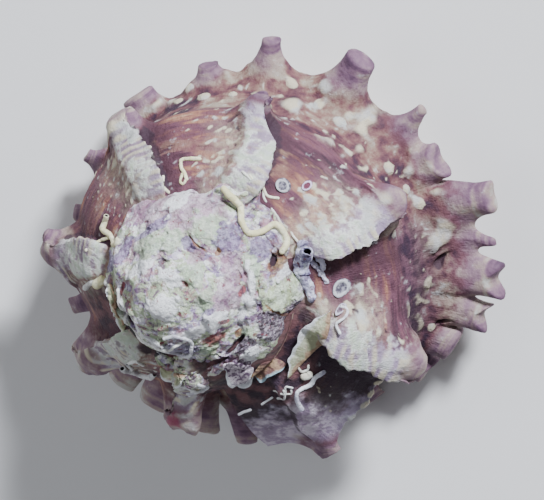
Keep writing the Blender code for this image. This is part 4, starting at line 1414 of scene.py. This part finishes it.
def crust_finish(look):
    """Mottled lilac, cream and mint lime with pink and crimson specks, grime and painted shade in its
    cracks, and pits painted near-black as shade.
    """
    s = Shader("lime_crust")
    mark = {name: s.mark(name) for name in CRUST_MARKS}
    fine = s.noise(0.0007, 4.0, 0.62)
    medium = s.noise(0.0018, 4.0, 0.62, 0.6)
    broad = s.noise(0.0046, 3.0, 0.55, 0.8)
    moved = s.node("ShaderNodeVectorMath", {"operation": "ADD"}, {0: s.place, 1: (0.31, 0.17, 0.05)})
    other = s.noise(0.0026, 4.0, 0.62, 0.8, at=moved)
    warm = s.noise(0.0015, 4.0, 0.65, 0.6, at=moved)

    def patch(name, amount=1.0):
        return s.step(mark[name] + (fine - 0.5) * 0.35 + (warm - 0.5) * 0.45, 0.14, 0.36) * amount

    colour = s.mix(s.step(medium, 0.42, 0.56), (158, 140, 176), (220, 214, 228))
    colour = s.mix(s.step(broad, 0.48, 0.53) * 0.85, colour, (186, 202, 158))
    colour = s.mix(s.step(broad, 0.44, 0.39) * 0.75, colour, (196, 150, 160))
    colour = s.mix(s.step(other, 0.53, 0.58) * 0.90, colour, (250, 250, 246))
    colour = s.mix(s.step(other, 0.46, 0.40) * 0.85, colour, (118, 86, 116))
    colour = s.mix(s.step(warm, 0.54, 0.62) * 0.55, colour, (180, 128, 130))
    colour = s.mix(s.step(warm, 0.45, 0.38) * 0.60, colour, (222, 230, 196))
    pink = s.mix(s.step(medium, 0.42, 0.58), (166, 128, 152), (206, 182, 198))
    colour = s.mix(patch("pink", 0.75), colour, pink)
    mint = s.mix(s.step(fine, 0.40, 0.62), (170, 192, 158), (216, 230, 202))
    colour = s.mix(patch("mint", 0.75), colour, mint)
    dusky = s.mix(s.step(fine, 0.38, 0.62), (104, 82, 120), (166, 152, 186))
    colour = s.mix(patch("dusky", 0.85), colour, dusky)
    coil = s.mix(s.step(fine, 0.38, 0.60), (148, 136, 170), (206, 200, 220))
    colour = s.mix(patch("coil", 0.85), colour, coil)
    grains = s.step(s.noise(0.0005, 2.0, 0.6), 0.46, 0.60)
    colour = s.mix(patch("speckled", 0.9), colour, s.mix(grains, (88, 66, 88), (180, 166, 180)))
    green = s.mix(s.step(medium, 0.40, 0.60), (182, 194, 150), (216, 226, 200))
    colour = s.mix(patch("green"), colour, green)
    colour = s.mix(patch("chalk", 0.9), colour, s.mix(fine, (232, 232, 238), (252, 253, 248)))
    ragged = (fine - 0.5) * 1.1 + (warm - 0.5) * 1.2 + (medium - 0.5) * 0.8
    specks = s.step(s.noise(0.0011, 3.0, 0.6, 0.4), 0.60, 0.67) * s.step(broad, 0.42, 0.54)
    colour = s.mix(specks * 0.8, colour, (132, 58, 62))
    freckles = s.step(s.noise(0.00060, 3.0, 0.6, at=moved), 0.56, 0.66) * 0.35
    colour = s.mix(freckles, colour, (120, 96, 124))
    rust = s.mix(s.step(medium, 0.4, 0.6), (104, 60, 40), (172, 122, 76))
    colour = s.mix(s.step(mark["rust"] + ragged * 0.5, 0.20, 0.50) * 0.8, colour, rust)
    stain = s.mix(s.step(fine, 0.4, 0.6), (84, 20, 38), (160, 76, 80))
    colour = s.mix(s.step(mark["stain"] + ragged * 0.7, 0.24, 0.60) * 0.85, colour, stain)
    # Grime and painted shade in the crust's cracks and hollows.
    dirt_and_shade = s.step(mark["hollow"] + (fine - 0.5) * 0.9, 0.60, 1.15)
    colour = s.mix(dirt_and_shade * 0.8, colour, s.mix(s.step(warm, 0.45, 0.6), (66, 42, 64), (130, 88, 74)))
    # Pits painted near-black as their shade.
    colour = s.mix(patch("pit", 0.9), colour, (46, 28, 44))
    grain = s.noise(0.00035, 5.0, 0.7)
    pits = s.step(s.cells(0.0006), 0.0, 0.4)
    height = grain * 0.9 + fine * 0.9 + pits * 0.3
    return s.finish({"Base Color": colour, "Roughness": 0.72 + fine * 0.16,
                     "Normal": s.bump(height, look.crust_grain), "Specular IOR Level": 0.35})


def tube_finish(look):
    """Cream lime, greyer with the tint, banded by growth, with painted shade inside the open ends."""
    s = Shader("cream_tube")
    tint, inside, along = [s.mark(name) for name in TUBE_MARKS]
    fine = s.noise(0.0005, 4.0, 0.6)
    medium = s.noise(0.0018, 3.0, 0.55)
    bands = s.noise(1.0, 2.0, 0.5, at=s.vector(along * 2600.0, tint))
    cream = s.mix(s.step(medium, 0.40, 0.62), (220, 212, 162), (240, 236, 200))
    grey = s.mix(s.step(medium, 0.36, 0.56), (176, 172, 190), (232, 234, 240))
    colour = s.mix(tint, cream, grey)
    colour = s.mix(s.step(bands + (fine - 0.5) * 0.5, 0.54, 0.72) * 0.35, colour, (178, 166, 150))
    colour = s.mix(s.step(fine, 0.62, 0.72) * 0.4, colour, (130, 112, 124))
    # Painted shade inside the open ends.
    colour = s.mix(inside, colour, (30, 22, 30))
    height = bands * 0.8 + s.noise(0.00030, 4.0, 0.65) * 0.7
    return s.finish({"Base Color": colour, "Roughness": 0.60 + fine * 0.2,
                     "Normal": s.bump(height, look.tube_grain), "Specular IOR Level": 0.4})


def crusty_finish():
    """Grey-violet grains over bluish white, with crimson specks and painted shade inside the open end.
    """
    s = Shader("grey_grains")
    tint, inside = s.mark("tint"), s.mark("inside")
    fine = s.noise(0.0005, 4.0, 0.65)
    medium = s.noise(0.0014, 3.0, 0.6)
    colour = s.ramp(medium * 0.6 + fine * 0.4, (
        (0.38, (80, 64, 96)),
        (0.45, (140, 132, 168)),
        (0.52, (194, 194, 218)),
        (0.60, (232, 232, 242)),
    ))
    colour = s.mix(tint * 0.6, colour, (214, 208, 222))
    specks = s.step(s.noise(0.0012, 3.0, 0.6, 0.5), 0.60, 0.68)
    colour = s.mix(specks * 0.8, colour, (120, 34, 50))
    # Painted shade inside the open end.
    colour = s.mix(inside, colour, (14, 12, 18))
    height = s.noise(0.0006, 5.0, 0.7) + s.step(s.cells(0.0007), 0.0, 0.5) * 0.5
    return s.finish({"Base Color": colour, "Roughness": 0.70 + fine * 0.15,
                     "Normal": s.bump(height, 0.00040), "Specular IOR Level": 0.35})


def scar_finish():
    """A lavender or grey rim round a dark mauve middle."""
    s = Shader("limpet_scar")
    tint, rim = [s.mark(name) for name in SCAR_MARKS]
    fine = s.noise(0.0005, 4.0, 0.6)
    pale = s.mix(tint, s.mix(fine, (150, 146, 156), (206, 208, 210)),
                 s.mix(fine, (180, 160, 196), (224, 212, 228)))
    deep = s.mix(tint, s.mix(s.step(fine, 0.4, 0.6), (72, 66, 80), (142, 138, 148)), (104, 52, 70))
    colour = s.mix(s.step(rim + (fine - 0.5) * 1.4, 0.30, 0.80), deep, pale)
    return s.finish({"Base Color": colour, "Roughness": 0.65 + fine * 0.2,
                     "Normal": s.bump(fine, 0.00016), "Specular IOR Level": 0.4})


def flap_finish():
    """A bright worn margin, then greenish cream, speckled grey or tan, by the tint of the flap."""
    s = Shader("lime_leaf")
    tint, across = [s.mark(name) for name in FLAP_MARKS]
    fine = s.noise(0.0006, 4.0, 0.62)
    medium = s.noise(0.0019, 4.0, 0.6, 0.5)
    leaf = s.mix(s.step(medium, 0.42, 0.60), (178, 180, 146), (222, 226, 198))
    leaf = s.mix(s.step(medium + (1.0 - across) * 0.35, 0.66, 0.80) * 0.8, leaf, (166, 122, 96))
    speckled = s.mix(s.step(fine + (medium - 0.5) * 0.8, 0.42, 0.60), (104, 80, 104), (216, 202, 210))
    tan = s.mix(s.step(medium, 0.42, 0.60), (120, 86, 82), (176, 146, 116))
    colour = s.mix(s.step(tint, 0.15, 0.45), leaf, speckled)
    colour = s.mix(s.step(tint, 0.65, 0.95), colour, tan)
    margin = s.mix(s.step(tint, 0.65, 0.95), (236, 238, 240), (160, 186, 196))
    colour = s.mix(s.step(across + (fine - 0.5) * 0.35, 0.74, 0.92), colour, margin)
    height = s.noise(0.0005, 5.0, 0.7) + medium
    return s.finish({"Base Color": colour, "Roughness": 0.68 + fine * 0.16,
                     "Normal": s.bump(height, 0.00028), "Specular IOR Level": 0.38})


def floor_finish(look):
    """Pale, faintly mottled paper."""
    s = Shader("pale_table")
    darker = [0.96 * part for part in look.floor_colour]
    tone = s.mix(s.noise(0.02, 3.0), (*look.floor_colour, 1.0), (*darker, 1.0))
    return s.finish({"Base Color": tone, "Roughness": 0.8})


# View and light
SEEN_LEAN = 27.0           # tilt of the axis as the camera sees it, towards growth angle 0
FRAME_WIDTH = 0.0816       # width of the view at the shell
CAMERA_DISTANCE = 1.2
VIEW_RIGHT = 0.0183        # from the growth centre to the middle of the view
VIEW_UP = 0.0093
SENSOR_WIDTH = 36.0
TABLE_HALF = 4.0
FILL_SHARE = 0.14          # power of the fill light, per main light
LAMP_COLOUR = (0.86, 0.91, 1.0)
ROOM_COLOUR = (0.80, 0.84, 0.92, 1.0)
ROOM_STRENGTH = 0.20


def camera_turn():
    """Rotation of the camera: the way that the shell lies, seen with its axis leaning."""
    heading = math.radians(HEADING)
    tilt = Matrix.Rotation(math.radians(SEEN_LEAN), 3, (-math.sin(heading), math.cos(heading), 0.0))
    seen = tilt @ Matrix.Rotation(heading, 3, "Z")
    return rest_turn() @ seen.transposed()


class StageLook(bpy.types.PropertyGroup):
    """Table and light."""
    floor_colour: bpy.props.FloatVectorProperty(
        name="Table", description="Colour of the table", subtype="COLOR", default=(0.83, 0.81, 0.79))
    key_power: bpy.props.FloatProperty(
        name="Main light", description="Power of the soft light", default=37.0, min=0.0, unit="POWER")


class SHELL_OT_stage(bpy.types.Operator):
    """Set the table, the lights and the camera"""
    bl_idname = "shell.stage"
    bl_label = "Set the stage"

    def execute(self, context):
        look = context.scene.shell_stage
        mesh = bpy.data.meshes.new("table")
        signs = ((-1, -1), (1, -1), (1, 1), (-1, 1))
        mesh.from_pydata([(x * TABLE_HALF, y * TABLE_HALF, 0) for x, y in signs], [], [(0, 1, 2, 3)])
        table = bpy.data.objects.new("table", mesh)
        table.data.materials.append(floor_finish(look))
        context.scene.collection.objects.link(table)
        turn = camera_turn()
        right, up, back = turn.col[0], turn.col[1], turn.col[2]
        target = GROWTH_CENTRE + VIEW_RIGHT * right + VIEW_UP * up
        camera = bpy.data.cameras.new("camera")
        camera.sensor_width = SENSOR_WIDTH
        camera.lens = SENSOR_WIDTH * CAMERA_DISTANCE / FRAME_WIDTH
        camera.clip_start = 0.05
        camera.clip_end = 20.0
        stand = bpy.data.objects.new("camera", camera)
        stand.matrix_world = Matrix.Translation(target + CAMERA_DISTANCE * back) @ turn.to_4x4()
        context.scene.collection.objects.link(stand)
        context.scene.camera = stand
        key = 0.38 * right + 0.62 * up + 0.95 * back
        fill = -0.9 * right - 0.2 * up + 0.9 * back
        self.light(context, "key", target, key, 0.18, look.key_power)
        self.light(context, "fill", target, fill, 0.9, FILL_SHARE * look.key_power)
        world = bpy.data.worlds.new("room")
        world.use_nodes = True
        background = world.node_tree.nodes["Background"]
        background.inputs["Color"].default_value = ROOM_COLOUR
        background.inputs["Strength"].default_value = ROOM_STRENGTH
        context.scene.world = world
        return {"FINISHED"}

    def light(self, context, name, target, offset, size, power):
        """A square soft light that faces the target."""
        lamp = bpy.data.lights.new(name, "AREA")
        lamp.size = size
        lamp.energy = power
        lamp.color = LAMP_COLOUR
        holder = bpy.data.objects.new(name, lamp)
        holder.location = target + offset
        holder.rotation_euler = offset.to_track_quat("Z", "Y").to_euler()
        context.scene.collection.objects.link(holder)


class ShellLook(bpy.types.PropertyGroup):
    """Looks of the shell's finishes."""
    # How strongly grime and painted shade darken the hollows of the skin.
    dirt_and_shade: bpy.props.FloatProperty(
        name="Dirt", description="How much the dirt covers in the hollows of the skin",
        default=0.85, min=0.0, max=1.0, subtype="FACTOR")
    pearl_coat: bpy.props.FloatProperty(
        name="Pearl", description="Clear coat over the pearly inside of the mouth",
        default=0.5, min=0.0, max=1.0, subtype="FACTOR")
    skin_grain: bpy.props.FloatProperty(
        name="Skin grain", description="Height of the finest grain of the skin",
        default=0.00022, min=0.0, precision=5, unit="LENGTH")
    crust_grain: bpy.props.FloatProperty(
        name="Crust grain", description="Height of the finest grain of the crust",
        default=0.00034, min=0.0, precision=5, unit="LENGTH")
    tube_grain: bpy.props.FloatProperty(
        name="Tube grain", description="Height of the finest grain of the worm tubes",
        default=0.00014, min=0.0, precision=5, unit="LENGTH")


class SHELL_OT_skin(bpy.types.Operator):
    """Grow the skin of the shell, from the crust's edge to the inside of the mouth"""
    bl_idname = "shell.skin"
    bl_label = "Grow the skin"

    def execute(self, context):
        add_growth(make_skin(), skin_finish(context.scene.shell_look))
        return {"FINISHED"}


class SHELL_OT_crust(bpy.types.Operator):
    """Lay the lime crust over the spire"""
    bl_idname = "shell.crust"
    bl_label = "Crust the spire"

    def execute(self, context):
        add_growth(make_crust(), crust_finish(context.scene.shell_look))
        return {"FINISHED"}


def add_growth(piece, material):
    """Give a piece that grew on the shell its finish, and its place in the model."""
    piece.data.materials.append(material)
    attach(piece, "root")
    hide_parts("shell")


class SHELL_OT_tubes(bpy.types.Operator):
    """Lay the worm tubes over the crust and the ramp"""
    bl_idname = "shell.tubes"
    bl_label = "Lay the worm tubes"

    def execute(self, context):
        look = context.scene.shell_look
        add_growth(make_tubes("worm_tubes", CREAM_TUBES, CREAM_ROUGHNESS), tube_finish(look))
        add_growth(make_tubes("crusty_tubes", CRUSTY_TUBES, CRUSTY_ROUGHNESS), crusty_finish())
        return {"FINISHED"}


class SHELL_OT_scars(bpy.types.Operator):
    """Leave the rings of limpets and barnacles on the ramp"""
    bl_idname = "shell.scars"
    bl_label = "Leave the limpet scars"

    def execute(self, context):
        add_growth(make_scars(), scar_finish())
        return {"FINISHED"}


class SHELL_OT_flaps(bpy.types.Operator):
    """Lift leaves of old lime along the crust's edge"""
    bl_idname = "shell.flaps"
    bl_label = "Lift the lime flaps"

    def execute(self, context):
        add_growth(make_flaps(), flap_finish())
        return {"FINISHED"}


class SHELL_PT_panel(bpy.types.Panel):
    """Lists the steps and settings"""
    bl_idname = "SHELL_PT_panel"
    bl_label = "Star Snail Shell"
    bl_space_type = "VIEW_3D"
    bl_region_type = "UI"
    bl_category = "Shell"

    def draw(self, context):
        for step in STEPS:
            self.layout.operator(step.bl_idname)
        for look in (context.scene.shell_look, context.scene.shell_stage):
            for name in look.__annotations__:
                self.layout.prop(look, name)


STEPS = (SHELL_OT_skin, SHELL_OT_crust, SHELL_OT_tubes, SHELL_OT_scars, SHELL_OT_flaps, SHELL_OT_stage)
CLASSES = (ShellLook, StageLook, *STEPS, SHELL_PT_panel)


def register():
    for item in CLASSES:
        bpy.utils.register_class(item)
    bpy.types.Scene.shell_look = bpy.props.PointerProperty(type=ShellLook)
    bpy.types.Scene.shell_stage = bpy.props.PointerProperty(type=StageLook)


def unregister():
    del bpy.types.Scene.shell_stage
    del bpy.types.Scene.shell_look
    for item in reversed(CLASSES):
        bpy.utils.unregister_class(item)


def main():
    register()
    bpy.ops.shell.skin()
    bpy.ops.shell.crust()
    bpy.ops.shell.tubes()
    bpy.ops.shell.scars()
    bpy.ops.shell.flaps()
    bpy.ops.shell.stage()


if __name__ == "__main__":
    main()
